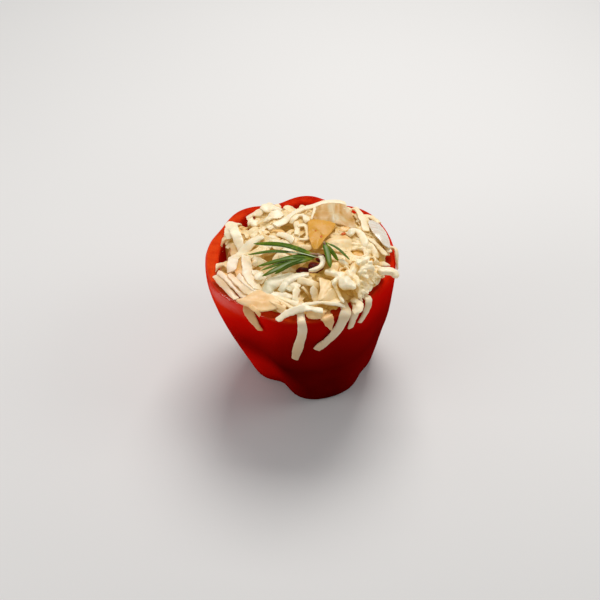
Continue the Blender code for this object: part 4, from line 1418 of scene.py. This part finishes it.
# shreds and curls that lie over the slices
topShreds = {
    "peachOne": (((-18.1, -31.6), (-10.7, -35.8), (-4.2, -40.0)), 1.7, 1.1, 0.34, 0.0),
    "peachTwo": (((-15.6, -35.6), (-10.6, -39.0), (-7.6, -41.4)), 1.5, 1.0, 0.46, 0.0),
    "peachThree": (((-12.3, -33.6), (-6.6, -36.4), (-1.4, -39.4)), 1.9, 1.1, 0.20, 0.0),
    "fringeOne": (((-22.6, -38.4), (-20.6, -40.4), (-19.2, -41.2)), 1.8, 1.1, 0.56, 0.0),
    "fringeTwo": (((-10.2, -36.6), (-9.4, -38.8), (-10.0, -40.6)), 1.7, 1.0, 0.40, 0.0),
    "backLong": (((-14.0, 9.6), (-8.9, 13.4), (-3.0, 20.3), (3.6, 25.0), (10.5, 27.4), (17.3, 26.0)),
                 3.0, 1.7, 0.08, 0.0, "shred_back"),
    "strand": (((3.6, 24.0), (3.3, 17.9), (2.2, 11.8)), 1.1, 0.9, 0.10, 0.0),
    "crossFront": (((-12.1, -44.0), (-7.4, -41.4), (-1.4, -39.5), (6.4, -41.0)), 2.7, 1.5, 0.0, 0.0,
                   "shred_cross"),
    "thinBright": (((-2.2, -37.5), (5.5, -37.6), (14.9, -37.8)), 1.4, 1.2, 0.06, 0.0),
}
makeLying(topShreds)


curds = {
    # middle, half sizes, turn, tone
    "lumps": (
        ((15.4, -18.2), (1.2, 3.0, 1.9), 45, 0.0),
        ((11.6, -20.4), (1.8, 2.7, 1.9), 10, 0.45),
        ((19.2, -21.8), (1.7, 4.2, 2.0), -10, 0.12),
        ((17.2, -25.2), (1.5, 2.8, 2.2), 30, 0.02),
        ((13.6, -26.6), (1.9, 2.6, 1.9), -35, 0.0),
        ((15.6, -30.4), (2.7, 3.3, 2.4), 5, -0.02),
        ((18.0, -30.8), (1.3, 3.0, 1.8), 25, 0.05),
        ((20.0, -27.6), (1.7, 3.2, 1.5), 15, 0.26),
        ((11.4, -28.8), (1.3, 2.4, 1.5), -25, 0.04),
    ),
    "low": 73.6,
    "relief": ((0.30, 2.2), (0.05, 0.7)),   # height and size
    "tube": (((7.4, -22.6), (10.6, -24.3), (14.2, -26.8)), 3.2, 2.6, 0.0),
    "edge": (((10.2, -27.4), (12.3, -33.0), (14.5, -37.8)), 1.7, 1.4, 0.05),
}
# cheese round a hole: middle and lowest level, reach of its own middle line, half breadth and half
# thickness, tone left and right
rings = {
    "ringCurd": ((15.2, -22.6, 75.0), 2.7, 1.2, 0.9, (0.45, 0.08), "cheese_white"),
    "ringRight": ((21.4, -8.8, 72.6), 5.0, 2.6, 1.0, (0.36, 0.10), "cheese_cream"),
    "ringSmall": ((26.7, -13.2, 72.6), 2.7, 1.3, 0.8, (0.34, 0.14), "cheese_cream"),
}
crumbs = {
    "lumps": 70,
    "size": (1.0, 1.9),
    "flakes": 200,
    "length": (1.6, 3.8),
    "width": (0.8, 1.5),
    "thick": (0.5, 0.8),
    "tone": (-0.10, 0.06),
    "stretch": ((0.9, 1.4), (0.7, 1.0), (0.45, 0.7)),   # of a lump, along, across and upwards
    "within": ((18.0, 38.0), (-38.0, -12.0)),           # box that holds the area
    "inside": (3.4, 1.6),                               # how far lumps and flakes keep from the skin
    "relief": ((0.22, 1.3), (0.07, 0.6)),
    "reach": 1.15,                                      # how far off the heap's middle, 1 at its edge
    "clear": 4.2,                                       # and how far from the small hole
    # the crumbs keep this share of the painted shade
    "crumbPaintedShadeShare": 0.4,
    "area": ((20.6, -18.0), (23.4, -14.6), (27.5, -16.0), (33.6, -17.6), (36.2, -22.0), (34.2, -28.0),
             (30.0, -32.6), (24.1, -35.5), (21.0, -32.0)),
}
# single lumps: middle, half sizes, turn, tone and lowest level
lumps = (
    ((19.0, 1.8), (1.7, 1.9, 1.2), 0, -0.02, 0.0),
    ((16.4, 5.2), (2.6, 1.8, 0.4), 20, 0.8, 0.0),
    ((-23.0, 16.0), (2.0, 2.4, 1.2), 0, 0.02, 0.0),
    ((-19.6, -22.4), (2.0, 2.6, 1.1), -35, -0.02, 0.0),
    ((21.4, -8.8), (3.2, 3.0, 1.1), 0, 1.25, 70.3),
    ((26.7, -13.2), (1.8, 1.6, 0.8), 0, 1.2, 70.9),
    ((15.2, -22.6), (1.8, 1.6, 0.7), 0, 1.1, 73.4),
)
# the rounded end of a shred that reaches out over the rim: places, width, thickness and tone
finger = (((29.0, -20.6, 71.4), (33.4, -20.0, 71.4), (35.8, -20.3, 70.8), (37.0, -21.6, 69.6)),
          3.5, 2.5, 0.10)
# and a curl that stands round a hollow
hollowCurl = (((3.0, -12.8, 74.4), (5.7, -14.3, 74.8), (6.7, -16.8, 74.6), (6.0, -19.6, 74.3),
               (3.5, -21.8, 74.0), (0.9, -21.9, 73.6)), 2.1, 1.6, -0.02)


lumpShape = {"rest": 0.62, "fineShare": 0.35, "slow": 1.1, "fine": 2.4}


def addLump(form, middle, half, turn, tone, seed, rough=0.24, divisions=4, low=0.0):
    # a soft uneven ball that rests in the pile at a share of its half height
    made = bmesh.ops.create_icosphere(form, subdivisions=divisions, radius=1.0)["verts"]
    angle = math.radians(turn)
    beside = np.array(((0.0, 1.0, -1.0, 0.0, 0.0), (0.0, 0.0, 0.0, 1.0, -1.0)))
    spots = [place + side * reach * 0.5 for place, side, reach in zip(middle, beside, half)]
    bed = max(float(np.mean(readPile(*spots))), low)
    toneLayer = form.verts.layers.float["tone"]
    for vert in made:
        away = 1.0 + rough * noise.noise(vert.co * lumpShape["slow"] + Vector((seed, 0.0, 0.0)))
        fine = noise.noise(vert.co * lumpShape["fine"] + Vector((0.0, seed, 0.0)))
        away += rough * lumpShape["fineShare"] * fine
        shape = Vector([side * reach for side, reach in zip(vert.co, half)]) * away
        x = middle[0] + shape.x * math.cos(angle) - shape.y * math.sin(angle)
        y = middle[1] + shape.x * math.sin(angle) + shape.y * math.cos(angle)
        vert.co = toFrame((x, y, bed + half[2] * lumpShape["rest"] + shape.z))
        vert[toneLayer] = tone
    around = math.tau * np.arange(12) / 12
    for share in (0.0, 0.4, 0.75, 0.95):
        top = bed + half[2] * (lumpShape["rest"] + math.sqrt(1.0 - share ** 2))
        x = middle[0] + half[0] * share * np.cos(around)
        y = middle[1] + half[1] * share * np.sin(around)
        raisePile(x, y, top)


# painted shade in the hollows of the soft bodies
creaseShading = {"gain": 5.0, "start": 0.15, "most": 0.6}


def fuse(form, voxel, rounds, swells):
    # the touching lumps of a form melt into one soft body with relief of the given (height, size), and
    # "crease" tells how hollow it is at each point, which is painted shade there
    mesh = bpy.data.meshes.new("softBody")
    form.to_mesh(mesh)
    form.free()
    holder = bpy.data.objects.new("softBody", mesh)
    home.objects.link(holder)
    melt = holder.modifiers.new("melt", "REMESH")
    melt.mode = "VOXEL"
    melt.voxel_size = voxel * mm
    melted = holder.evaluated_get(bpy.context.evaluated_depsgraph_get())
    body = shredForm()
    body.from_mesh(melted.to_mesh())
    melted.to_mesh_clear()
    bpy.data.objects.remove(holder)
    bpy.data.meshes.remove(mesh)
    calm(body, 0.5, rounds)
    body.normal_update()
    for vert in body.verts:
        place = fromFrame(vert.co)
        vert.co += vert.normal * mm * sum(height * noise.noise(place / size) for height, size in swells)
    body.normal_update()
    creaseShade = body.verts.layers.float.new("creaseShade")
    for vert in body.verts:
        around = [edge.other_vert(vert).co for edge in vert.link_edges]
        hollow = (sum(around, Vector()) / len(around) - vert.co).dot(vert.normal)
        shade = hollow / (voxel * mm) * creaseShading["gain"] - creaseShading["start"]
        vert[creaseShade] = min(max(shade, 0.0), creaseShading["most"])
    return body


def blendTones(form, rows, plain):
    # each point takes its tone from the lumps that are near it
    toneLayer = form.verts.layers.float["tone"]
    middles = np.array([row[0][:2] for row in rows])
    sizes = np.array([max(row[1][0], row[1][1]) for row in rows])
    tones = np.array([row[3] for row in rows])
    for vert in form.verts:
        place = fromFrame(vert.co)
        share = np.exp(-2.5 * ((middles - (place.x, place.y)) ** 2).sum(1) / sizes ** 2)
        vert[toneLayer] = float((share @ tones + 0.05 * plain) / (share.sum() + 0.05))


ringShape = {"uneven": 0.30, "oval": 0.92, "relief": ((0.7, 2.2), (0.14, 0.8)), "toneSpan": 2.6}


def makeRing(name, row):
    (ringX, ringY, low), reach, spread, thick, tones, slotName = row
    form = shredForm()
    bed = soften(pileTop, 1.6)
    made = bmesh.ops.create_circle(form, segments=12, radius=1.0)["verts"]
    bmesh.ops.scale(form, verts=made, vec=(spread, thick, 1.0))
    bmesh.ops.rotate(form, verts=made, matrix=Matrix.Rotation(math.pi / 2.0, 3, "X"))
    bmesh.ops.translate(form, verts=made, vec=(reach, 0.0, 0.0))
    bmesh.ops.spin(form, geom=form.verts[:] + form.edges[:], axis=upward, cent=(0, 0, 0), steps=32,
                   angle=math.tau, use_merge=True)
    spots = np.linspace(0.0, math.tau, 24)
    under = readPile(ringX + reach * np.cos(spots), ringY + reach * np.sin(spots))
    level = max(float(np.median(under)) - 0.5, low)
    for vert in form.verts:
        side = math.atan2(vert.co.y, vert.co.x)
        uneven = noise.noise(Vector((math.cos(side), math.sin(side), reach)) * 1.4)
        swell = 1.0 + ringShape["uneven"] * uneven
        x, y = ringX + vert.co.x * swell, ringY + vert.co.y * swell * ringShape["oval"]
        out = min(max((math.hypot(vert.co.x, vert.co.y) - reach) / spread + 0.4, 0.0), 1.0)
        base = level + min(float(readField(bed, x, y)) - level, 0.5) * out
        vert.co = toFrame((x, y, base + vert.co.z))
    bmesh.ops.recalc_face_normals(form, faces=form.faces)
    form = fuse(form, 0.30, 2, ringShape["relief"])
    toneLayer = form.verts.layers.float["tone"]
    for vert in form.verts:
        across = ((vert.co.x - cupAxis.x) / mm - ringX) / reach
        vert[toneLayer] = tones[1] + (tones[0] - tones[1]) * (0.5 - across / ringShape["toneSpan"])
    for share in (-0.6, 0.0, 0.6):
        away = reach + share * spread
        crown = level + thick * (1.0 - share ** 2)
        raisePile(ringX + away * np.cos(spots), ringY + away * np.sin(spots), crown)
    newCheese(name, form, sharp=80.0)


def makeCurds():
    form = shredForm()
    for number, (middle, half, turn, tone) in enumerate(curds["lumps"]):
        addLump(form, middle, half, turn, tone, 5.1 * number, low=curds["low"])
    for seed, part in enumerate(("tube", "edge")):
        route, width, thick, tone = curds[part]
        line = layLine(route, width, press=0.6)
        addShred(form, longTemplate, line, width, thick, tone, random.Random(40 + seed), pinch=0.5)
        pressInto(line, width, thick)
    for number, (middle, half, turn, tone, low) in enumerate(lumps):
        addLump(form, middle, half, turn, tone, 60.0 + number, low=low)
    form = fuse(form, 0.28, 5, curds["relief"])
    blendTones(form, (*curds["lumps"], *lumps), 0.04)
    finish = makeCheeseFinish("softCurd", 0.15, 0.003, 0.2, paintedGlow=0.17)
    newCheese("curdClump", form, ("curd",), finish, sharp=80.0)


def crumbSpots(chance, count, inside):
    # places in the crumbs' own area that are still on the heap or the rim, clear of the small hole
    cells = outlineCells(np.array(crumbs["area"]))
    holeX, holeY = rings["ringSmall"][0][:2]
    spots = []
    while len(spots) < count:
        x, y = [chance.uniform(*side) for side in crumbs["within"]]
        away, turn = polar(x, y)
        onRim = away < float(np.interp(turn, turns, outerRadii)) - inside
        onRim = onRim and math.hypot(x - holeX, y - holeY) > crumbs["clear"]
        if cells[pileCell(x, y)] and onRim and float(heapShare(x, y)) < crumbs["reach"]:
            spots.append((x, y))
    return spots


def makeCrumbs():
    chance = random.Random(300)
    form = shredForm()
    rows = []
    for number, (x, y) in enumerate(crumbSpots(chance, crumbs["lumps"], crumbs["inside"][0])):
        size = chance.uniform(*crumbs["size"])
        half = [size * chance.uniform(*stretch) for stretch in crumbs["stretch"]]
        turn, tone = chance.uniform(0.0, 180.0), chance.uniform(*crumbs["tone"])
        addLump(form, (x, y), half, turn, tone, float(number), 0.3, 3)
        rows.append(((x, y), half, turn, tone))
    form = fuse(form, 0.24, 2, crumbs["relief"])
    blendTones(form, rows, 0.0)
    for x, y in crumbSpots(chance, crumbs["flakes"], crumbs["inside"][1]):
        heading, reach = chance.uniform(0.0, math.tau), chance.uniform(*crumbs["length"]) / 2.0
        step = (reach * math.cos(heading), reach * math.sin(heading))
        bend = (chance.uniform(-0.6, 0.6), chance.uniform(-0.6, 0.6))
        route = ((x - step[0], y - step[1]), (x + bend[0], y + bend[1]), (x + step[0], y + step[1]))
        width, thick = chance.uniform(*crumbs["width"]), chance.uniform(*crumbs["thick"])
        line = layLine(route, width, press=0.45, allowed=0.8, twist=(chance.uniform(0.0, 0.5), heading))
        addShred(form, shortTemplate, line, width, thick, chance.uniform(*crumbs["tone"]), chance, pinch=0.7)
        pressInto(line, width, thick)
    finish = makeCheeseFinish("crumbledCheese", paintedGlow=0.19)
    newCheese("cheeseCrumbs", form, finish=finish, sharp=60.0)


# dark red lumps that lie in the hollows, and thin orange flakes: place, half sizes and turn
redBits = (
    ((3.4, -15.4), (3.4, 3.0, 1.3), 30),
    ((-1.2, -17.6), (3.0, 2.3, 1.1), -20),
    ((6.2, -9.6), (2.3, 2.4, 1.1), 70),
    ((0.8, -19.4), (2.4, 1.7, 0.9), 0),
    ((27.0, -13.0), (0.9, 0.6, 0.5), 0),
    ((15.6, 1.2), (1.1, 0.9, 0.35), 40),
    ((21.2, -8.6), (3.0, 2.8, 0.3), 0),
    ((27.0, -13.6), (1.4, 1.2, 0.3), 0),
    ((6.3, -0.6), (0.55, 0.9, 0.10), -15),
    ((3.8, 2.8), (0.45, 0.5, 0.09), 10),
)


# a thick bit is deep red and lies at least at "low", and a thin one is orange
red = {
    "shades": ((0.3, (0.05, 0.002, 0.001)), (0.55, (0.17, 0.006, 0.002)), (0.75, (0.34, 0.03, 0.006))),
    "thinShade": (0.62, 0.12, 0.012, 1.0),
    "blotch": 420.0,
    "thin": 0.4,
    "thick": 0.8,
    "low": 69.6,
}


def makeRedFinish():
    finish, tree, shader = newFinish("redBitsColour", {
        "Coat Weight": 0.08,
        "Coat Roughness": 0.15,
        "Specular IOR Level": 0.1,
    }, (0.2, (1.0, 0.2, 0.08), 0.002))
    blotch = addNoise(tree, ownPlace(tree), red["blotch"], 4.0, 0.6)
    shade = addMix(tree, addShade(tree, "tone"), addRamp(tree, blotch, red["shades"]), red["thinShade"])
    feed(tree, shader, {"Base Color": shade, "Roughness": addRange(tree, blotch, 0.3, 0.7, 0.25, 0.5)})
    addBump(tree, shader, blotch, 0.3 * mm)
    return finish


def makeRedBits():
    form = shredForm()
    for number, (middle, half, turn) in enumerate(redBits):
        tone = 0.0 if half[2] > red["thin"] else 1.0
        low = red["low"] if half[2] > red["thick"] else 0.0
        addLump(form, middle, half, turn, tone, 9.0 + number, 0.3, 3, low)
    newPiece("redBits", form, makeRedFinish(), sharp=80.0)


makeRedBits()
for name, row in rings.items():
    makeRing(name, row)
makeCurds()
makeCrumbs()
for name, row, nodes in (("shredFinger", finger, ("shred_right",)), ("shredHollowCurl", hollowCurl, ())):
    form = shredForm()
    line = hangLine(row[0])
    addShred(form, longTemplate, line, *row[1:], random.Random(5), pinch=0.75)
    pressInto(line, row[1], row[2])
    newCheese(name, form, nodes)
print("curds, crumbs and red bits made")


# needles grow from base to tip, (x, y, z) in mm over the sprig's own level, with their bow upwards,
# width, roll about their length and the share of the painted highlight along the furrow on their top
rosemary = {
    "left": {
        "node": "rosemary_left",
        "level": 0.5,
        "stem": ((6.4, -14.4, 0.2), (1.0, -13.6, 0.3), (-5.0, -14.6, 0.1), (-11.0, -16.4, -0.5)),
        "stemWidth": 1.25,
        "needles": (
            ((3.6, -14.0, 0.6), (-22.5, -6.2, 0.4), 2.4, 2.9, 8, 0.0),
            ((-5.0, -12.4, 0.9), (-24.6, -11.8, -0.9), 1.2, 1.9, 10, 0.1),
            ((4.4, -15.4, 0.7), (-9.0, -12.6, 1.2), 0.8, 1.3, -150, 0.0),
            ((3.0, -14.8, 0.5), (-13.2, -16.2, -0.4), 1.2, 2.2, 4, 0.0),
            ((3.2, -15.0, 0.4), (-20.6, -18.8, -1.2), 1.6, 1.9, -10, 0.15),
            ((2.6, -15.6, 0.4), (-18.4, -24.6, -1.4), 1.7, 2.1, -32, 0.75),
            ((1.0, -16.0, 0.2), (-13.4, -24.0, -0.8), 1.5, 1.7, -60, 0.1),
            ((-3.0, -15.4, 0.2), (-18.8, -21.0, -1.4), 0.6, 1.3, -10, 0.1),
        ),
    },
    "right": {
        "node": "rosemary_right",
        "level": -0.6,
        "stem": ((7.0, -9.4, 0.3), (7.6, -11.4, 0.1), (8.4, -13.6, -0.6)),
        "stemWidth": 1.0,
        "needles": (
            ((7.2, -9.0, 0.5), (9.6, -23.4, -1.0), 1.0, 2.5, 12, 0.45),
            ((8.0, -10.6, 0.2), (12.8, -19.0, -1.2), 0.5, 1.7, 20, 0.0),
            ((8.2, -9.6, 0.5), (17.6, -18.8, -0.9), 1.3, 1.7, -25, 0.15),
        ),
    },
}


leaf = {
    "shades": ((0.0, (0.20, 0.25, 0.012)), (0.35, (0.050, 0.115, 0.001)), (1.0, (0.115, 0.17, 0.003))),
    "speck": (0.24, 0.30, 0.05, 1.0),
    "speckShare": 0.15,
    "under": (0.58, 0.66, 0.42, 1.0),
    "blotch": 330.0,
    "fine": 2600.0,
}
bark = {
    "shades": ((0.3, (0.13, 0.05, 0.03)), (0.55, (0.32, 0.16, 0.09)), (0.75, (0.50, 0.36, 0.20))),
    "stretch": (0.25, 1.0, 1.0),
    "grain": 1400.0,
}


def makeNeedleFinish():
    finish, tree, shader = newFinish("rosemaryNeedle", {
        "Coat Weight": 0.05,
        "Coat Roughness": 0.2,
        "Specular IOR Level": 0.08,
    }, (0.12, (0.35, 1.0, 0.15), 0.001))
    place = ownPlace(tree)
    blotch = addNoise(tree, place, leaf["blotch"], 3.0)
    fine = addNoise(tree, place, leaf["fine"], 2.0)
    along = plus(tree, addShade(tree, "along"), addRange(tree, blotch, 0.3, 0.7, -0.25, 0.25), clamp=True)
    speck = addRange(tree, fine, 0.55, 0.75, 0.0, leaf["speckShare"])
    top = addMix(tree, speck, addRamp(tree, along, leaf["shades"]), leaf["speck"])
    # "pale" is the pale underside and the painted highlight stripe on top
    feed(tree, shader, {
        "Base Color": addMix(tree, addShade(tree, "pale"), top, leaf["under"]),
        "Roughness": addRange(tree, blotch, 0.3, 0.7, 0.30, 0.46),
    })
    addBump(tree, shader, fine, 0.06 * mm)
    return finish


def makeStemFinish():
    finish, tree, shader = newFinish("rosemaryStem", {"Specular IOR Level": 0.35})
    drawn = addNode(tree, "ShaderNodeMapping", {"Vector": ownPlace(tree), "Scale": bark["stretch"]})
    grain = addNoise(tree, drawn.outputs[0], bark["grain"], 4.0, 0.6)
    feed(tree, shader, {
        "Base Color": addRamp(tree, grain, bark["shades"]),
        "Roughness": addRange(tree, grain, 0.3, 0.7, 0.5, 0.75),
    })
    addBump(tree, shader, grain, 0.25 * mm)
    return finish


# a needle's section and outline, in shares of its half width and of its length
needle = {
    "foot": (0.45, 0.25),           # breadth at its base, and where it is full
    "tip": (0.62, 0.383, 0.62),     # where it narrows, over how much, and how bluntly
    "crown": (0.42, 0.8),           # height and curve of its top
    "furrow": (0.22, 0.2),          # depth and width of the line along it
    "belly": (-0.30, 0.4),
    "rolled": (0.16, 0.45, 0.22),   # rise, place and width of the edges rolled under
    "highlightStripeWidth": 0.34,
}


def needleLift(x, y):
    if y > 0.0:
        (height, curve), (depth, width) = needle["crown"], needle["furrow"]
        return height * abs(y) ** curve - depth * math.exp(-(x / width) ** 2)
    (height, curve), (rise, place, width) = needle["belly"], needle["rolled"]
    return height * abs(y) ** curve + rise * math.exp(-((abs(x) - place) / width) ** 2)


def addNeedle(form, template, base, tip, bow, width, roll, highlightStripe):
    # a long leaf: a furrow along its top, rolled edges, a pale underside, and a painted highlight stripe
    # along the top's middle
    base, tip = np.array(base), np.array(tip)
    middle = (base + tip) / 2.0 + np.array((0.0, 0.0, bow))
    centre = smoothLine((base, middle, tip))
    over = readPile(*centre[:, :2].T) + 0.3 - centre[:, 2]
    centre[:, 2] += evened(np.maximum(over, 0.0), 40)
    forward = unit(np.gradient(centre, axis=0))
    side = unit(np.cross(np.array((0.0, 0.0, 1.0)), forward))
    rise = np.cross(forward, side)
    turn = math.radians(roll)
    side, rise = side * math.cos(turn) + rise * math.sin(turn), rise * math.cos(turn) - side * math.sin(turn)
    first = len(form.verts)
    form.from_mesh(template)
    form.verts.ensure_lookup_table()
    stations = np.arange(len(centre))
    pale = form.verts.layers.float["pale"]
    along = form.verts.layers.float["along"]
    rows = (centre, side, rise)
    foot, full = needle["foot"]
    start, length, blunt = needle["tip"]
    for vert in form.verts[first:]:
        x, y, share = vert.co.x, vert.co.y, (vert.co.z + 1.0) / 2.0
        breadth = foot + (1.0 - foot) * smooth(0.0, full, share)
        if share > start:
            breadth *= max(1.0 - ((share - start) / length) ** 2, 0.0) ** blunt
        lift = needleLift(x, y)
        place = share * (len(centre) - 1)
        spot = [np.interp(place, stations, row[:, axis]) for row in rows for axis in range(3)]
        spot = np.array(spot).reshape(3, 3)
        vert.co = toFrame(spot[0] + (spot[1] * x + spot[2] * lift) * breadth * width / 2.0)
        ends = smooth(0.08, 0.3, share) * (1.0 - smooth(0.75, 0.95, share))
        # pale on the underside; on top a painted highlight stripe along the middle
        vert[pale] = 1.0 if y < -0.1 else highlightStripe * math.exp(-(x / needle["highlightStripeWidth"]) ** 2) * ends
        vert[along] = share


def makeRosemary(name, row):
    low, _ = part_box(row["node"])
    level = (low.z - cupAxis.z) / mm + row["level"]
    template = shredTemplate(16, 23)
    form = bmesh.new()
    for layer in ("pale", "along"):
        form.verts.layers.float.new(layer)
    for base, tip, *shape in row["needles"]:
        addNeedle(form, template, *[(end[0], end[1], end[2] + level) for end in (base, tip)], *shape)
    newPiece("needles" + name.title(), form, needleFinish, (row["node"],), sharp=60.0)
    stem = shredForm()
    line = hangLine([(x, y, z + level) for x, y, z in row["stem"]])
    addShred(stem, template, line, row["stemWidth"], row["stemWidth"], 0.0, random.Random(9), pinch=0.3)
    for vert in stem.verts:
        vert.co += vert.normal * 0.1 * mm * noise.noise(vert.co * 900.0)
    newPiece("stem" + name.title(), stem, stemFinish, sharp=60.0)
    bpy.data.meshes.remove(template)


needleFinish = makeNeedleFinish()
stemFinish = makeStemFinish()
for name, row in rosemary.items():
    makeRosemary(name, row)
print("rosemary made")


# painted shade between the pieces of cheese, from how far a point lies below its neighbours
tuckShading = {
    "reach": 1.6,           # a point is tucked below the highest of what is this near
    "soft": 1.2,
    "start": 0.4,
    "full": 2.8,            # depth past the start at which it is all in shade
    "edge": (0.96, 0.06),   # it fades from this share of the heap's breadth, over this much
    "back": (16.0, 12.0, 0.5),
}


def paintTuckShade():
    # painted shade: how deep each point of the cheese is tucked between its neighbours, which darkens its
    # colour
    ceiling = soften(spread(pileTop, tuckShading["reach"]), tuckShading["soft"])
    edgeStart, edgeRun = tuckShading["edge"]
    backStart, backRun, backShare = tuckShading["back"]
    for piece in cheesePieces:
        count = len(piece.data.vertices)
        places = np.empty(count * 3)
        piece.data.vertices.foreach_get("co", places)
        x, y, z = ((places.reshape(-1, 3) - np.array(cupAxis)) / mm).T
        paintedShade = np.clip((ceiling[pileCell(x, y)] - z - tuckShading["start"]) / tuckShading["full"], 0.0, 1.0)
        paintedShade *= 1.0 - np.clip((heapShare(x, y) - edgeStart) / edgeRun, 0.0, 1.0)
        paintedShade *= 1.0 - backShare * np.clip((y - backStart) / backRun, 0.0, 1.0)
        # the hollows of the soft bodies get painted shade too
        if "creaseShade" in piece.data.attributes:
            creaseShade = np.empty(count)
            piece.data.attributes["creaseShade"].data.foreach_get("value", creaseShade)
            paintedShade = np.maximum(paintedShade, creaseShade)
        if piece.name == "cheeseCrumbs":
            paintedShade *= crumbs["crumbPaintedShadeShare"]
        shade = piece.data.attributes.new("paintedShade", "FLOAT", "POINT")
        shade.data.foreach_set("value", paintedShade)


paintTuckShade()
for template in (shortTemplate, longTemplate):
    bpy.data.meshes.remove(template)


studio = {
    "floor": (0.80, 0.79, 0.78),
    "floorDim": 0.97,      # its darker patches
    "floorSize": 6.0,
    "air": (0.95, 0.97, 1.0, 1.0),
    "airStrength": 0.29,
    # place and target in metres from the cup's axis, size, power, colour
    "lamps": {
        "key": ((0.06, 0.32, 0.62), (0.0, 0.0, 0.06), (0.36, 0.36), 3.3, (1.0, 0.98, 0.95)),
        "side": ((0.40, -0.04, 0.34), (0.0, 0.0, 0.06), (0.20, 0.20), 0.35, (1.0, 0.98, 0.95)),
        "window": ((-0.52, -0.20, 0.28), (0.0, 0.0, 0.05), (0.34, 0.10), 0.7, (1.0, 0.98, 0.96)),
    },
    "elevation": 43.6,
    "distance": 0.5,
    "lens": 66.72,
    "sensor": 36.0,
    "aimShift": (-0.00288, 0.00139),
    "aimHeight": 0.035,
}


def makeStudio():
    bpy.ops.mesh.primitive_plane_add(size=studio["floorSize"])
    floor = bpy.context.object
    floor.name = "floor"
    finish, tree, shader = newFinish("paleFloor", {"Roughness": 0.9, "Specular IOR Level": 0.1})
    pale = studio["floor"]
    dim = [value * studio["floorDim"] for value in pale]
    patches = addRamp(tree, addNoise(tree, ownPlace(tree), 3.0), ((0.3, dim), (0.7, pale)))
    feed(tree, shader, {"Base Color": patches})
    floor.data.materials.append(finish)
    world = bpy.data.worlds.new("studioAir")
    world.use_nodes = True
    air = world.node_tree.nodes["Background"].inputs
    air["Color"].default_value = studio["air"]
    air["Strength"].default_value = studio["airStrength"]
    bpy.context.scene.world = world
    for name, (place, target, size, power, tint) in studio["lamps"].items():
        lamp = bpy.data.lights.new(name, "AREA")
        lamp.shape = "RECTANGLE"
        lamp.size, lamp.size_y = size
        lamp.energy = power
        lamp.color = tint
        holder = bpy.data.objects.new(name, lamp)
        holder.location = cupAxis + Vector(place)
        holder.rotation_euler = (Vector(target) - Vector(place)).to_track_quat("-Z", "Y").to_euler()
        holder.visible_camera = False
        home.objects.link(holder)


def makeCamera():
    tilt = math.radians(studio["elevation"])
    back = Vector((0.0, -math.cos(tilt), math.sin(tilt)))
    above = Vector((0.0, math.sin(tilt), math.cos(tilt)))
    aim = cupAxis + Vector((0.0, 0.0, studio["aimHeight"]))
    aim += Vector((studio["aimShift"][0], 0.0, 0.0)) + above * studio["aimShift"][1]
    lens = bpy.data.cameras.new("camera")
    lens.lens = studio["lens"]
    lens.sensor_width = studio["sensor"]
    camera = bpy.data.objects.new("camera", lens)
    camera.location = aim + back * studio["distance"]
    camera.rotation_euler = (-back).to_track_quat("-Z", "Y").to_euler()
    home.objects.link(camera)
    bpy.context.scene.camera = camera


makeStudio()
makeCamera()
bpy.context.scene.view_settings.view_transform = "Standard"
print("floor, lights and camera made")
